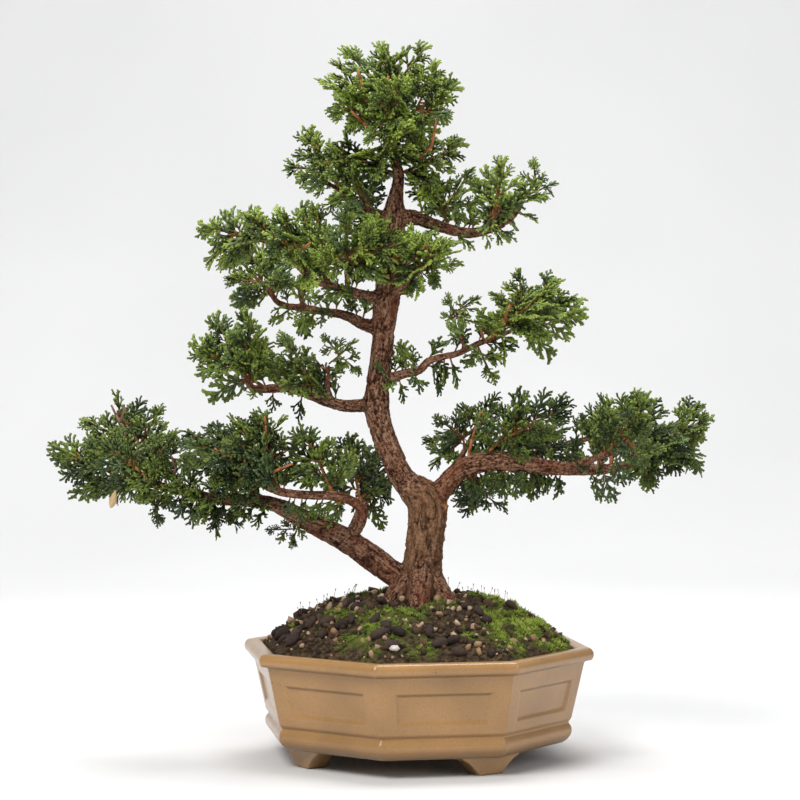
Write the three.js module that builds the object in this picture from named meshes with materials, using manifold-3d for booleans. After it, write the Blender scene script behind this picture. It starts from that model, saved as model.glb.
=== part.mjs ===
// Hinoki cypress bonsai in an octagonal stoneware pot. Millimetres, +Z up.
// The tree frame has its origin on the table under the middle of the pot.
import * as THREE from 'three';
import { mergeVertices } from 'three/addons/utils/BufferGeometryUtils.js';
import Module from 'manifold-3d';

const wasm = await Module();
wasm.setup();

// ---------------------------------------------------------------- driving dimensions
const CLEARANCE = 0.3; // gap between pieces that rest on or in one another

const POT_SIDES = 8;
const POT_TURN = THREE.MathUtils.degToRad(9.6); // first corner, counter-clockwise from a flat facing +X
const RIM_FLAT = 83.5; // middle of the pot to a flat of the rim
const RIM_TOP = 57;
const RIM_UNDER = 50;
const WALL_TOP_FLAT = 79.2;
const GROOVE_FLAT = 71.5;
const GROOVE_Z = 19.4;
const BASE_Z = 9; // underside of the pot, which the feet lift off the table
const BASE_FLAT = 68.6;
const BEAD_FLAT = 73.2;
const FLOOR_Z = 15;
const FLOOR_FLAT = 65;
const MOUTH_FLAT = 75;
const PANEL_DEPTH = 1.2;
const PANEL_LOW = 26;
const PANEL_HIGH = 41.5;
const PANEL_HALF_TOP = 23.5;
const PANEL_HALF_LOW = 22;
const FOOT_FLAT = 62; // middle of the pot to the middle of a foot, along its corner
const FOOT_THICK = 11;
const DRAIN_RADIUS = 8;
const DRAIN_OUT = 32; // middle of the pot to the middle of a drain hole
const SCREEN_SIDE = 26;
const SCREEN_THICK = 1;
const SCREEN_HOLES = 2;

const SOIL_RIM_Z = 55.5; // soil level at the pot's wall
const SOIL_CROWN = 26; // how far the mound rises above that
const SOIL_POWER = 2.8;
const SOIL_RINGS = 5;
const SOIL_SECTORS = 2 * POT_SIDES;
const SOIL_BACK = 6; // the mound's crown lies this far behind the trunk
const PELLET = [3.9, 2.5, 2.3]; // half-sizes of a fertiliser pellet

const LIMB_SIDES = 5;
const TWIG_SIDES = 4;
const BLADE = 0.8; // thickness of a flat spray of scale leaves
const RIB_HALF = 0.8; // half the width of a spray's bare rib
const LOBE_PAIRS = [2, 3];
const SMALL_SPRAY = 24;
const LONG_STEM = 0.3; // bare share of a spray from which its stem keeps its width
const LOBE_REACH = [0.62, 0.36]; // of a spray's first and last lobes, as shares of its leafy length
const LOBE_ANGLE = [1.05, 0.5]; // between them and the rib
const NOTCH_HALF = [0.12, 0.06]; // half the spray's width at the cuts between them
const ARCH = 0.16; // how far a spray arches along its rib, as a share of its length
const SWAY = 0.14; // how far its lobes rise and fall
const FACING = new THREE.Vector3(0.25, -0.75, 0.6).normalize(); // the way that sprays tend to face
const TURN = 0.9; // how far a spray may turn from that, about its rib
const SPLIT = 0.35; // where a second spray leaves the first, as a share of its length
const NEIGHBOUR_GAP = 0.4; // least space between the sprays of different stems

const vec = (x, y, z) => new THREE.Vector3(x, y, z);

// ---------------------------------------------------------------- finishes
const finish = (color, roughness) => new THREE.MeshStandardMaterial({ color, roughness, metalness: 0 });
const GLAZE = finish(0xbf915e, 0.3);
const BARK = finish(0x7a5648, 0.9);
const LOAM = finish(0x3d2c22, 1);
const LEAF = finish(0x4f7a35, 0.6);
const PLASTIC = finish(0x1c1c1c, 0.6);

// ---------------------------------------------------------------- the tree's wood
// Each limb is a list of [x, y, z, radius] from its root to its tip.
const LIMBS = {
  trunk: [
    [2, 0, 60, 15.1], [2, 0, 75.5, 13.6], [2.2, 0, 83.5, 11.5], [3.2, 0, 98.5, 9.7],
    [5.4, 0, 119, 9.7], [4.2, 0, 129, 9.8], [-6.5, 1, 139.5, 6.4], [-14, 2, 155, 6],
    [-19, 3, 169, 6.1], [-20, 3, 179.5, 6.3], [-19.5, 3, 189, 5.7], [-17, 2, 208, 5.5],
    [-16, 1, 222.5, 6.3], [-14.5, 1, 234.5, 6.5], [-13, 0, 252.5, 5.5], [-12.2, 0, 267, 6.4],
    [-10, -1, 284, 3.5], [-9, -1, 292.5, 3], [-11.5, 0, 302.5, 2.5], [-13, 1, 317.5, 2],
    [-14, 1, 332.5, 1.5], [-14, 0, 340, 1.1],
  ],
  root_right: [
    [6, -2, 94, 6], [11, -5, 84, 5.5], [18, -8, 76.5, 4.5], [26, -11, 69, 3.6], [34, -13, 61, 2.5],
  ],
  root_left: [[0, 0, 97, 6], [-7, -4, 86, 5.5], [-14, -8, 77, 4.5], [-22, -12, 67, 3]],
  root_front: [[3, -4, 97, 6], [2, -12, 86, 5.5], [1, -19, 76, 4.5], [0, -26, 66, 3]],
  root_back: [[3, 4, 97, 6], [4, 12, 86, 5.5], [6, 20, 76, 4.5], [8, 27, 65, 3]],
  low_left: [
    [1, 0, 82.5, 7], [-11, -1, 91.5, 6.6], [-23.5, -3, 100.8, 6.6], [-38.5, -6, 111, 6],
    [-58, -11, 121, 4.9], [-72, -14, 128, 3.7], [-89, -16, 130, 3.2], [-103.5, -17, 131, 3],
    [-116, -18, 134.5, 2.5], [-129, -18, 137.5, 2.2], [-142, -17, 139, 1.7], [-154.5, -15, 145, 1.2],
  ],
  low_left_loop: [
    [-33.5, -6, 110, 3], [-28.5, -10, 117.5, 2.9], [-27, -14, 124.5, 2.7], [-32, -18, 129.5, 2.6],
    [-41, -22, 132.5, 2.4], [-53.5, -26, 133, 2.3], [-67.5, -30, 135, 2.2], [-79, -33, 140.5, 2],
    [-90.5, -35, 146, 1.6], [-98.5, -36, 153.5, 1.2],
  ],
  low_left_back: [
    [-35.5, -5, 110, 3], [-32.5, 10, 114, 2.5], [-28, 26, 123.5, 2.1], [-22, 38, 132, 1.7],
    [-16.5, 46, 142, 1.3],
  ],
  low_left_mid: [[-77, -15, 129, 2.5], [-86, 2, 136, 2], [-96, 18, 143, 1.6], [-105, 28, 150.5, 1.2]],
  low_left_end: [
    [-129.5, -18, 137.5, 2], [-134.5, -14, 145, 1.8], [-139.5, -6, 157, 1.5], [-146.5, 2, 167, 1.2],
    [-152, 6, 173, 1],
  ],
  low_right: [
    [8, 0, 125, 6], [12.5, -1, 134, 5.3], [21, -3, 143.5, 5], [32, -5, 148, 5.2],
    [42, -7, 149, 5.2], [55.5, -9, 147.5, 4.3], [71.5, -11, 145.5, 3.6], [90.5, -12, 145, 2.9],
    [104.5, -11, 147, 2.5], [116.5, -9, 151, 1.9], [128, -6, 152.5, 1.6], [139.5, -3, 154, 1.4],
  ],
  low_right_twig: [[20, -3, 146.5, 2], [24, 6, 153, 1.6], [28.5, 14, 161, 1.3], [32.5, 20, 171, 1]],
  low_right_back: [
    [49, -7, 149, 2.5], [59, 12, 151, 2.1], [72, 28, 154.5, 1.9], [87, 38, 158, 1.6],
    [99, 44, 159.5, 1.1],
  ],
  low_right_front: [
    [74.5, -11, 145.5, 2.3], [82.5, -26, 149.5, 2], [93.5, -38, 154, 1.6], [104, -46, 158, 1.2],
  ],
  low_right_under: [[27, -4, 145.5, 2.5], [29.5, 10, 139.5, 2], [33.5, 22, 134, 1.5], [37, 30, 128, 1]],
  mid_left: [
    [-19.5, 3, 175.5, 4], [-27.5, 3, 176.5, 3.5], [-37.5, 3, 176.5, 3.1], [-47, 2, 179.5, 3],
    [-56.5, 1, 183.5, 2.8], [-65, -1, 185.5, 2.5], [-75.5, -3, 185, 2.3], [-82.5, -4, 185.5, 1.9],
    [-85.5, -6, 190.5, 1.5], [-87, -7, 197.5, 1.2],
  ],
  mid_left_back: [[-58.5, 0, 184, 2], [-65.5, 14, 187, 1.7], [-74, 26, 191, 1.4], [-81.5, 34, 197.5, 1.1]],
  mid_left_twig: [[-42.5, 2, 178.5, 1.8], [-44.5, -2, 185.5, 1.4], [-44, -5, 197.5, 1.1]],
  mid_right: [
    [-16.5, 3, 189, 3], [-6.5, 0, 192.5, 2.5], [1.5, -3, 194.5, 2.3], [6, -5, 199, 2.1],
    [12.5, -7, 201, 1.9], [21, -9, 203, 1.8], [30, -11, 207.5, 1.6], [38, -12, 211, 1.5],
    [42, -12, 216, 1.3], [46, -12, 225, 1],
  ],
  mid_right_back: [[30, -11, 207.5, 1.6], [40, 4, 211, 1.5], [51, 16, 215.5, 1.3], [61.5, 24, 221, 1]],
  mid_right_in: [[25, -10, 204.5, 1.5], [22, -14, 210.5, 1.3], [19, -18, 216.5, 1]],
  high_left: [
    [-19.5, 2, 216.5, 4], [-25.5, 3, 217, 3.4], [-35.5, 8, 222, 2.6], [-46.5, 13, 224, 2.2],
    [-57, 17, 226, 2], [-66, 19, 227, 1.8], [-72, 20, 230, 1.6], [-75.5, 20, 238, 1.2],
  ],
  high_left_front: [
    [-17.5, 0, 230.5, 4], [-25.5, -5, 231.5, 3], [-34.5, -12, 234.5, 2.3], [-45, -18, 237, 2.1],
    [-52.5, -23, 240, 2], [-58, -26, 246, 1.8], [-63.5, -28, 252, 1.6], [-72, -29, 257, 1.4],
    [-81, -28, 260, 1.1],
  ],
  high_left_mid: [[-45, -18, 237, 1.9], [-46, -12, 244.5, 1.6], [-49.5, -8, 252, 1.3], [-52, -8, 259.5, 1.1]],
  high_left_back: [[-57, 17, 226, 1.7], [-59.5, 28, 234.5, 1.5], [-58, 38, 245, 1.2], [-56.5, 42, 254.5, 1]],
  high_right_front: [
    [-14.5, 0, 233.5, 3.5], [-7.5, -7, 236.5, 2.7], [-0.5, -15, 243.5, 2.1], [6.5, -22, 249, 1.7],
    [4.5, -27, 256.5, 1.2],
  ],
  back: [
    [-14, 0, 238, 3.5], [-13, 18, 244.5, 2.8], [-16.5, 38, 250, 2.3], [-21, 54, 255, 1.8],
    [-24, 66, 259.5, 1.3],
  ],
  back_right: [[-13, 12, 242, 2.3], [-6, 28, 248.5, 2], [1, 42, 254.5, 1.6], [7.5, 52, 260, 1.2]],
  upper_right: [
    [-10.5, 0, 269, 5], [-3.5, 2, 271.5, 4], [7, 4, 268.5, 3.2], [16.5, 6, 265.5, 2.9],
    [26, 7, 263.6, 2.7], [34, 7, 264.8, 2.6], [43.5, 6, 268.8, 2.4], [50.5, 5, 274.8, 2],
    [54, 4, 282, 1.3],
  ],
  upper_right_front: [[34, 7, 264.8, 1.7], [37.5, -6, 269.5, 1.4], [41.5, -16, 275, 1.1]],
  upper_left: [
    [-14.5, 0, 269, 4], [-20.5, 4, 273.5, 2.7], [-27.5, 9, 277.5, 2], [-37, 14, 284.5, 1.5],
    [-45, 17, 289.5, 1.3], [-51, 18, 294.5, 1.1],
  ],
};
const THICK_LIMBS = { trunk: 10, low_left: 7, low_right: 7 };

// ---------------------------------------------------------------- the leafy stems
// Each leafy stem grows from point `at` of a limb. Its arms are flat sprays, [x, y, z, leafy length],
// that end at x, y, z: the first runs from the limb, and each other one leaves it at SPLIT.
const STEMS = {
  apex_top: { limb: 'trunk', at: 19, seed: 15, arms: [
    [-14, 0, 361, 38], [-36, -6, 358, 30], [6, -4, 358, 27],
  ] },
  apex_left: { limb: 'trunk', at: 19, seed: 16, arms: [
    [-48, -10, 343, 39], [-43, -22, 322, 23], [-35, -6, 313, 14], [-40, 0, 353, 27],
  ] },
  apex_right: { limb: 'trunk', at: 19, seed: 15, arms: [
    [23, -8, 337, 36], [16, -24, 322, 23], [12, -2, 350, 24],
  ] },
  apex_front: { limb: 'trunk', at: 19, seed: 14, arms: [
    [-8, -30, 341, 34], [-21, -34, 328, 22], [-27, -26, 307, 25],
  ] },
  apex_back: { limb: 'trunk', at: 19, seed: 24, arms: [[-19, 28, 349, 36], [-1, 32, 338, 24]] },
  apex_low_right: { limb: 'trunk', at: 17, seed: 24, arms: [[26, 6, 311, 35], [12, -14, 299, 15]] },
  apex_low_left: { limb: 'trunk', at: 17, seed: 15, arms: [
    [-46, 4, 310, 36], [-32, -12, 298, 14], [-7, -32, 318, 35],
  ] },
  crown_left_tip: { limb: 'upper_left', at: 3, seed: 7, arms: [[-56, 12, 319, 34], [-69, 22, 299, 23]] },
  crown_left_mid: { limb: 'upper_left', at: 1, seed: 11, arms: [
    [-42, -6, 309, 37], [-30, -16, 295, 16], [-43, -4, 277, 16],
  ] },
  crown_right_tip: { limb: 'upper_right', at: 8, seed: 2, arms: [
    [71, 2, 290, 16], [59, -4, 301, 15], [66, -6, 281, 10],
  ] },
  crown_right_front: { limb: 'upper_right_front', at: 1, seed: 22, arms: [[44, -22, 300, 30]] },
  crown_right_back: { limb: 'upper_right', at: 6, seed: 12, arms: [[43, 34, 300, 35]] },
  crown_right_mid: { limb: 'upper_right', at: 3, seed: 14, arms: [
    [11, 8, 296, 25], [27, -10, 296, 24], [-3, 12, 287, 18], [33, -4, 280, 18], [-1, -4, 305, 29],
  ] },
  high_left_tip: { limb: 'high_left_front', at: 7, seed: 21, arms: [
    [-110, -22, 268, 35], [-107, -14, 248, 24],
  ] },
  high_left_top: { limb: 'high_left_front', at: 4, seed: 15, arms: [
    [-66, -32, 277, 35], [-84, -42, 273, 32],
  ] },
  high_left_end: { limb: 'high_left', at: 6, seed: 1, arms: [
    [-98, 36, 258, 36], [-97, 12, 242, 18], [-77, 40, 275, 33], [-62, 10, 241, 21],
  ] },
  high_left_mid: { limb: 'high_left_mid', at: 1, seed: 13, arms: [
    [-49, -18, 279, 30], [-36, -26, 246, 17], [-63, -24, 247, 18],
  ] },
  high_trunk: { limb: 'high_left_front', at: 2, seed: 11, arms: [
    [-33, -30, 275, 38], [-46, -42, 253, 23], [-15, -26, 270, 26], [-20, -22, 243, 13], [-2, -32, 259, 31],
  ] },
  high_back: { limb: 'high_left_back', at: 2, seed: 6, arms: [[-58, 50, 282, 34], [-43, 60, 265, 21]] },
  high_back_end: { limb: 'back', at: 2, seed: 6, arms: [[-34, 50, 283, 34]] },
  high_right_front: { limb: 'high_right_front', at: 1, seed: 18, arms: [
    [17, -34, 260, 35], [23, -20, 248, 19], [-2, -28, 267, 22], [11, -14, 235, 11],
  ] },
  high_right_back: { limb: 'back_right', at: 3, seed: 2, arms: [[24, 54, 262, 15]] },
  mid_left_tip: { limb: 'mid_left', at: 6, seed: 2, arms: [[-113, -10, 209, 39], [-102, 4, 225, 31]] },
  mid_left_top: { limb: 'mid_left', at: 7, seed: 14, arms: [[-82, -14, 226, 36]] },
  mid_left_mid: { limb: 'mid_left', at: 3, seed: 11, arms: [[-66, -6, 215, 36], [-71, -4, 199, 16]] },
  mid_left_back: { limb: 'mid_left_back', at: 2, seed: 11, arms: [[-94, 46, 218, 34]] },
  mid_left_open: { limb: 'mid_left_twig', at: 2, seed: 17, arms: [
    [-30, -10, 211, 17], [-48, 0, 213, 13], [-27, -4, 192, 14],
  ] },
  mid_right_tip: { limb: 'mid_right', at: 8, seed: 1, arms: [
    [71, -14, 243, 35], [52, -4, 247, 20], [36, -18, 234, 16],
  ] },
  mid_right_end: { limb: 'mid_right', at: 8, seed: 2, arms: [
    [83, -10, 234, 39], [68, -16, 211, 15], [58, -8, 205, 15],
  ] },
  mid_right_back: { limb: 'mid_right_back', at: 2, seed: 10, arms: [[90, 26, 227, 37], [72, 36, 244, 26]] },
  mid_right_in: { limb: 'mid_right_in', at: 2, seed: 11, arms: [
    [16, -26, 233, 16], [31, -24, 232, 14], [35, -20, 217, 15],
  ] },
  mid_right_low: { limb: 'mid_right', at: 6, seed: 13, arms: [[40, -8, 186, 21]] },
  mid_right_bud: { limb: 'mid_right', at: 2, seed: 10, arms: [[-7, -8, 205, 12]] },
  right_in: { limb: 'low_right_twig', at: 1, seed: 1, arms: [
    [23, 12, 174, 19], [45, 26, 177, 28], [2, 10, 159, 19], [10, -8, 171, 20], [5, 6, 145, 21],
  ] },
  right_under: { limb: 'low_right_under', at: 2, seed: 17, arms: [[31, 32, 124, 12], [45, 26, 137, 11]] },
  right_mid: { limb: 'low_right', at: 3, seed: 14, arms: [
    [59, -6, 177, 34], [47, -26, 165, 19], [78, -22, 178, 39],
  ] },
  right_mid_back: { limb: 'low_right_back', at: 1, seed: 1, arms: [[75, 36, 174, 32], [63, 26, 133, 24]] },
  right_end: { limb: 'low_right', at: 7, seed: 15, arms: [[99, -4, 183, 34], [82, -12, 174, 16]] },
  right_end_back: { limb: 'low_right_back', at: 3, seed: 17, arms: [[119, 52, 185, 38]] },
  right_far_front: { limb: 'low_right_front', at: 2, seed: 15, arms: [
    [113, -56, 183, 34], [110, -60, 147, 21], [85, -48, 174, 16],
  ] },
  right_far: { limb: 'low_right', at: 8, seed: 3, arms: [
    [122, 2, 183, 37], [116, -16, 134, 24], [134, -4, 142, 26],
  ] },
  right_tip: { limb: 'low_right', at: 9, seed: 17, arms: [
    [145, 8, 181, 39], [145, -8, 143, 23], [150, -8, 172, 23],
  ] },
  left_tip: { limb: 'low_left', at: 10, seed: 19, arms: [[-184, -18, 159, 41], [-178, -10, 148, 20]] },
  left_tip_front: { limb: 'low_left', at: 9, seed: 20, arms: [[-156, -34, 162, 34], [-154, -12, 129, 22]] },
  left_end: { limb: 'low_left_end', at: 1, seed: 4, arms: [
    [-151, 16, 179, 38], [-127, -10, 177, 21], [-169, -4, 172, 28],
  ] },
  left_end_front: { limb: 'low_left_end', at: 1, seed: 20, arms: [
    [-119, -28, 165, 25], [-109, -30, 149, 20],
  ] },
  left_end_low: { limb: 'low_left', at: 9, seed: 8, arms: [[-128, -24, 117, 19]] },
  left_mid_back: { limb: 'low_left_mid', at: 1, seed: 10, arms: [
    [-103, 26, 171, 39], [-120, 36, 165, 36], [-78, 8, 173, 25], [-109, 18, 142, 17],
  ] },
  left_front_mid: { limb: 'low_left_loop', at: 6, seed: 12, arms: [
    [-88, -42, 175, 41], [-116, -42, 163, 33], [-103, -42, 141, 26],
  ] },
  left_front: { limb: 'low_left_loop', at: 6, seed: 15, arms: [[-74, -28, 178, 38], [-56, -32, 161, 15]] },
  left_mid_low: { limb: 'low_left', at: 7, seed: 17, arms: [[-97, -22, 111, 19], [-85, -22, 118, 15]] },
  left_in: { limb: 'low_left_loop', at: 4, seed: 18, arms: [
    [-58, -28, 169, 35], [-44, -18, 161, 15], [-63, -34, 144, 16],
  ] },
  left_back: { limb: 'low_left_back', at: 2, seed: 20, arms: [
    [-36, 36, 164, 37], [-15, 54, 153, 29], [-10, 52, 125, 28],
  ] },
  left_back_mid: { limb: 'low_left_back', at: 2, seed: 12, arms: [[-47, 32, 136, 20], [-50, 26, 122, 15]] },
  left_in_low: { limb: 'low_left', at: 4, seed: 16, arms: [[-64, -12, 105, 15], [-76, -12, 115, 13]] },
};

// ---------------------------------------------------------------- solids and meshes
function solidOf(geometry) {
  const bare = geometry.index ? geometry.toNonIndexed() : geometry.clone();
  bare.deleteAttribute('normal');
  bare.deleteAttribute('uv');
  const merged = mergeVertices(bare, 1e-3);
  const mesh = new wasm.Mesh({
    numProp: 3,
    vertProperties: new Float32Array(merged.attributes.position.array),
    triVerts: new Uint32Array(merged.index.array),
  });
  return new wasm.Manifold(mesh);
}

function meshOf(name, solid, material) {
  const { vertProperties, triVerts } = solid.getMesh();
  const geometry = new THREE.BufferGeometry();
  geometry.setAttribute('position', new THREE.BufferAttribute(new Float32Array(vertProperties), 3));
  geometry.setIndex(new THREE.BufferAttribute(new Uint32Array(triVerts), 1));
  geometry.computeVertexNormals();
  const mesh = new THREE.Mesh(geometry, material);
  mesh.name = name;
  return mesh;
}

const joined = (solids) => solids.reduce((whole, solid) => whole.add(solid));

function largest(solid) {
  return solid.decompose().reduce((best, piece) => (piece.volume() > best.volume() ? piece : best));
}

// Park and Miller's generator: the same seed gives the same tree.
function dice(seed) {
  let state = seed * 7919;
  return () => {
    state = (state * 16807) % 2147483647;
    return state / 2147483647;
  };
}

// ---------------------------------------------------------------- limbs
// A cylinder bent along the limb's points. `grow` swells it all round, for a clearance cut.
function limb(points, sides, grow, fluting) {
  const spine = points.map(([x, y, z]) => vec(x, y, z));
  const last = spine.length - 1;
  const ahead = spine.map((_, i) => (
    spine[Math.min(i + 1, last)].clone().sub(spine[Math.max(i - 1, 0)]).normalize()
  ));
  spine[0].addScaledVector(ahead[0], -grow);
  spine[last].addScaledVector(ahead[last], grow);
  const across = [];
  let side = vec(0, 1, 0).cross(ahead[0]);
  for (const direction of ahead) {
    side = side.clone().addScaledVector(direction, -side.dot(direction)).normalize();
    across.push(side);
  }
  const geometry = new THREE.CylinderGeometry(1, 1, 1, sides, last);
  const place = geometry.attributes.position;
  for (let i = 0; i < place.count; i += 1) {
    const ring = Math.round((place.getY(i) + 0.5) * last);
    const angle = Math.atan2(place.getZ(i), place.getX(i));
    const reach = Math.hypot(place.getX(i), place.getZ(i));
    const flute = 1 + fluting * (Math.sin(5 * angle + 0.5 * ring) + 0.6 * Math.sin(3 * angle - ring));
    const radius = reach * (points[ring][3] * flute + grow);
    const third = across[ring].clone().cross(ahead[ring]);
    const at = spine[ring].clone()
      .addScaledVector(across[ring], radius * Math.cos(angle))
      .addScaledVector(third, radius * Math.sin(angle));
    place.setXYZ(i, at.x, at.y, at.z);
  }
  return solidOf(geometry);
}

function wood(grow) {
  return joined(Object.entries(LIMBS).map(([name, points]) => {
    const thick = THICK_LIMBS[name];
    const sides = thick ?? (points[0][3] > 2.6 ? LIMB_SIDES : TWIG_SIDES);
    return limb(points, sides, grow, thick ? 0.06 : 0);
  }));
}

// ---------------------------------------------------------------- foliage
// Outline of one flat spray: a rib along +X, bare at first, then with pointed lobes cut to it
// on both sides. The lobes of one side stand a little ahead of the other's.
function sprayShape(length, bare) {
  const leafy = 1 - bare;
  const pairs = LOBE_PAIRS[leafy * length < SMALL_SPRAY ? 0 : 1];
  const step = (0.8 * leafy) / pairs;
  const sideOf = (sign, lag) => {
    const points = [[0, (RIB_HALF * sign) / length]];
    if (bare > LONG_STEM) {
      points.push([bare + lag, (RIB_HALF * sign) / length]);
    }
    for (let i = 0; i < pairs; i += 1) {
      const ahead = i / (pairs - 1);
      const start = bare + lag + i * step;
      const reach = leafy * THREE.MathUtils.lerp(...LOBE_REACH, ahead);
      const angle = THREE.MathUtils.lerp(...LOBE_ANGLE, ahead);
      const notch = leafy * THREE.MathUtils.lerp(...NOTCH_HALF, ahead);
      points.push([start + reach * Math.cos(angle), reach * Math.sin(angle) * sign]);
      points.push([start + step + 0.03 * leafy, notch * sign]);
    }
    return points;
  };
  const near = sideOf(-1, 0);
  const far = sideOf(1, 0.4 * step);
  const shape = new THREE.Shape();
  [...near, [1, 0], ...far.reverse()].forEach(([x, y], i) => (
    i ? shape.lineTo(x * length, y * length) : shape.moveTo(x * length, y * length)
  ));
  shape.closePath();
  return shape;
}

// How far a spray stands off its own plane: it arches along its rib, and its lobes rise and
// fall in turn.
function bend(x, y) {
  const lobe = Math.min(Math.abs(y) / 0.3, 1);
  return ARCH * x * (x - 1) + SWAY * lobe * Math.sin(11 * x + (y > 0 ? 1.5 : 0)) * x;
}

// One flat spray from its root to its tip, turned about its rib by the seeded rule.
function armOf(root, [x, y, z, leafy], roll) {
  const tip = vec(x, y, z);
  const length = root.distanceTo(tip);
  const along = tip.clone().sub(root).normalize();
  const normal = FACING.clone().addScaledVector(along, -FACING.dot(along)).normalize();
  normal.applyAxisAngle(along, TURN * (2 * roll() - 1));
  const shape = sprayShape(length, 1 - leafy / length);
  const geometry = new THREE.ExtrudeGeometry(shape, { depth: BLADE, bevelEnabled: false });
  const place = geometry.attributes.position;
  for (let i = 0; i < place.count; i += 1) {
    place.setZ(i, place.getZ(i) + bend(place.getX(i) / length, place.getY(i) / length) * length);
  }
  const start = root.clone().addScaledVector(normal, -BLADE / 2);
  const across = normal.clone().cross(along);
  geometry.applyMatrix4(new THREE.Matrix4().makeBasis(along, across, normal).setPosition(start));
  const split = root.clone().addScaledVector(along, SPLIT * length);
  split.addScaledVector(normal, bend(SPLIT, 0) * length);
  return { along, normal, across, split, middle: root.clone().lerp(tip, 0.6), solid: solidOf(geometry) };
}

// Two sprays that come too near are both cut along a plane between them: of several planes
// through the place where they meet, the one that keeps the most of both.
function partPair(a, b) {
  const reached = a.solid.intersect(b.solid);
  const meeting = reached.isEmpty() ? a.middle.clone().lerp(b.middle, 0.5) : middleOf(reached);
  const between = a.middle.clone().sub(b.middle).normalize();
  let best = null;
  for (const direction of [between, a.normal, b.normal, a.across, b.across, a.along, b.along]) {
    const normal = direction.clone().multiplyScalar(Math.sign(direction.dot(between)) || 1);
    const offset = meeting.dot(normal);
    const first = a.solid.trimByPlane(normal.toArray(), offset + NEIGHBOUR_GAP / 2);
    const second = b.solid.trimByPlane(normal.negate().toArray(), NEIGHBOUR_GAP / 2 - offset);
    const kept = first.volume() + second.volume();
    if (!best || kept > best.kept) {
      best = { first, second, kept };
    }
  }
  a.solid = best.first;
  b.solid = best.second;
}

function middleOf(solid) {
  const { min, max } = solid.boundingBox();
  return vec(...min).add(vec(...max)).multiplyScalar(0.5);
}

function partStems(arms) {
  arms.forEach((a, i) => {
    for (const b of arms.slice(i + 1)) {
      if (a.stem !== b.stem && a.solid.minGap(b.solid, 1) < NEIGHBOUR_GAP) {
        partPair(a, b);
      }
    }
  });
}

function stemArms(name) {
  const { limb: parent, at, seed, arms } = STEMS[name];
  const roll = dice(seed);
  const base = vec(...LIMBS[parent][at].slice(0, 3));
  const first = armOf(base, arms[0], roll);
  return [first, ...arms.slice(1).map((arm) => armOf(first.split, arm, roll))];
}

function foliage(clearWood) {
  const arms = Object.keys(STEMS).flatMap((name) => stemArms(name).map((arm) => ({ ...arm, stem: name })));
  partStems(arms);
  return Object.keys(STEMS).map((name) => {
    const whole = joined(arms.filter((arm) => arm.stem === name).map((arm) => arm.solid));
    return meshOf(`foliage_${name}`, largest(whole.subtract(clearWood)), LEAF);
  });
}

// ---------------------------------------------------------------- pot
const CORNER = 1 / Math.cos(Math.PI / POT_SIDES); // flat to corner of an octagon

function octagonLathe(profile) {
  const points = profile.map(([flat, z]) => new THREE.Vector2(flat * CORNER, z));
  const geometry = new THREE.LatheGeometry(points, POT_SIDES);
  geometry.rotateX(Math.PI / 2);
  geometry.rotateZ(Math.PI / POT_SIDES + POT_TURN);
  return geometry;
}

// Direction from the pot's middle: whole numbers are corners, halves are flats.
function potAngle(step) {
  return Math.PI / POT_SIDES + POT_TURN + (step * 2 * Math.PI) / POT_SIDES;
}

function potShell() {
  const bead = [];
  const beadSteps = 4;
  for (let i = 0; i <= beadSteps; i += 1) {
    const t = i / beadSteps;
    const base = THREE.MathUtils.lerp(BASE_FLAT, GROOVE_FLAT, t);
    const bulge = (BEAD_FLAT - (BASE_FLAT + GROOVE_FLAT) / 2) * Math.sin(Math.PI * t) ** 0.7;
    bead.push([base + bulge, THREE.MathUtils.lerp(BASE_Z, GROOVE_Z, t)]);
  }
  return solidOf(octagonLathe([
    [0, BASE_Z],
    ...bead,
    [GROOVE_FLAT + 1.6, GROOVE_Z + 2],
    [WALL_TOP_FLAT, RIM_UNDER],
    [RIM_FLAT - 0.8, RIM_UNDER + 0.8],
    [RIM_FLAT, RIM_UNDER + 2.6],
    [RIM_FLAT, RIM_TOP - 2.6],
    [RIM_FLAT - 1, RIM_TOP - 0.7],
    [RIM_FLAT - 2.8, RIM_TOP],
    [MOUTH_FLAT + 1, RIM_TOP - 0.4],
    [MOUTH_FLAT, RIM_TOP - 1.6],
    [FLOOR_FLAT + 2, FLOOR_Z + 3],
    [FLOOR_FLAT, FLOOR_Z],
    [0, FLOOR_Z],
  ]));
}

// One shallow panel with sloping edges, cut into the middle of a wall.
function panelCut(step) {
  const wallAt = (z) => THREE.MathUtils.mapLinear(
    z, GROOVE_Z + 2, RIM_UNDER, GROOVE_FLAT + 1.6, WALL_TOP_FLAT,
  );
  const geometry = new THREE.BoxGeometry(1, 1, 1);
  const place = geometry.attributes.position;
  for (let i = 0; i < place.count; i += 1) {
    const high = place.getZ(i) > 0;
    const outer = place.getX(i) > 0;
    const z = (high ? PANEL_HIGH : PANEL_LOW) + (outer ? 0 : (high ? -0.8 : 2.2));
    const half = (high ? PANEL_HALF_TOP : PANEL_HALF_LOW) - (outer ? 0 : 1.2);
    const flush = wallAt(high ? PANEL_HIGH : PANEL_LOW);
    place.setXYZ(i, outer ? flush + 0.05 : flush - PANEL_DEPTH, Math.sign(place.getY(i)) * half, z);
  }
  geometry.rotateZ(potAngle(step + 0.5));
  return solidOf(geometry);
}

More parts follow.
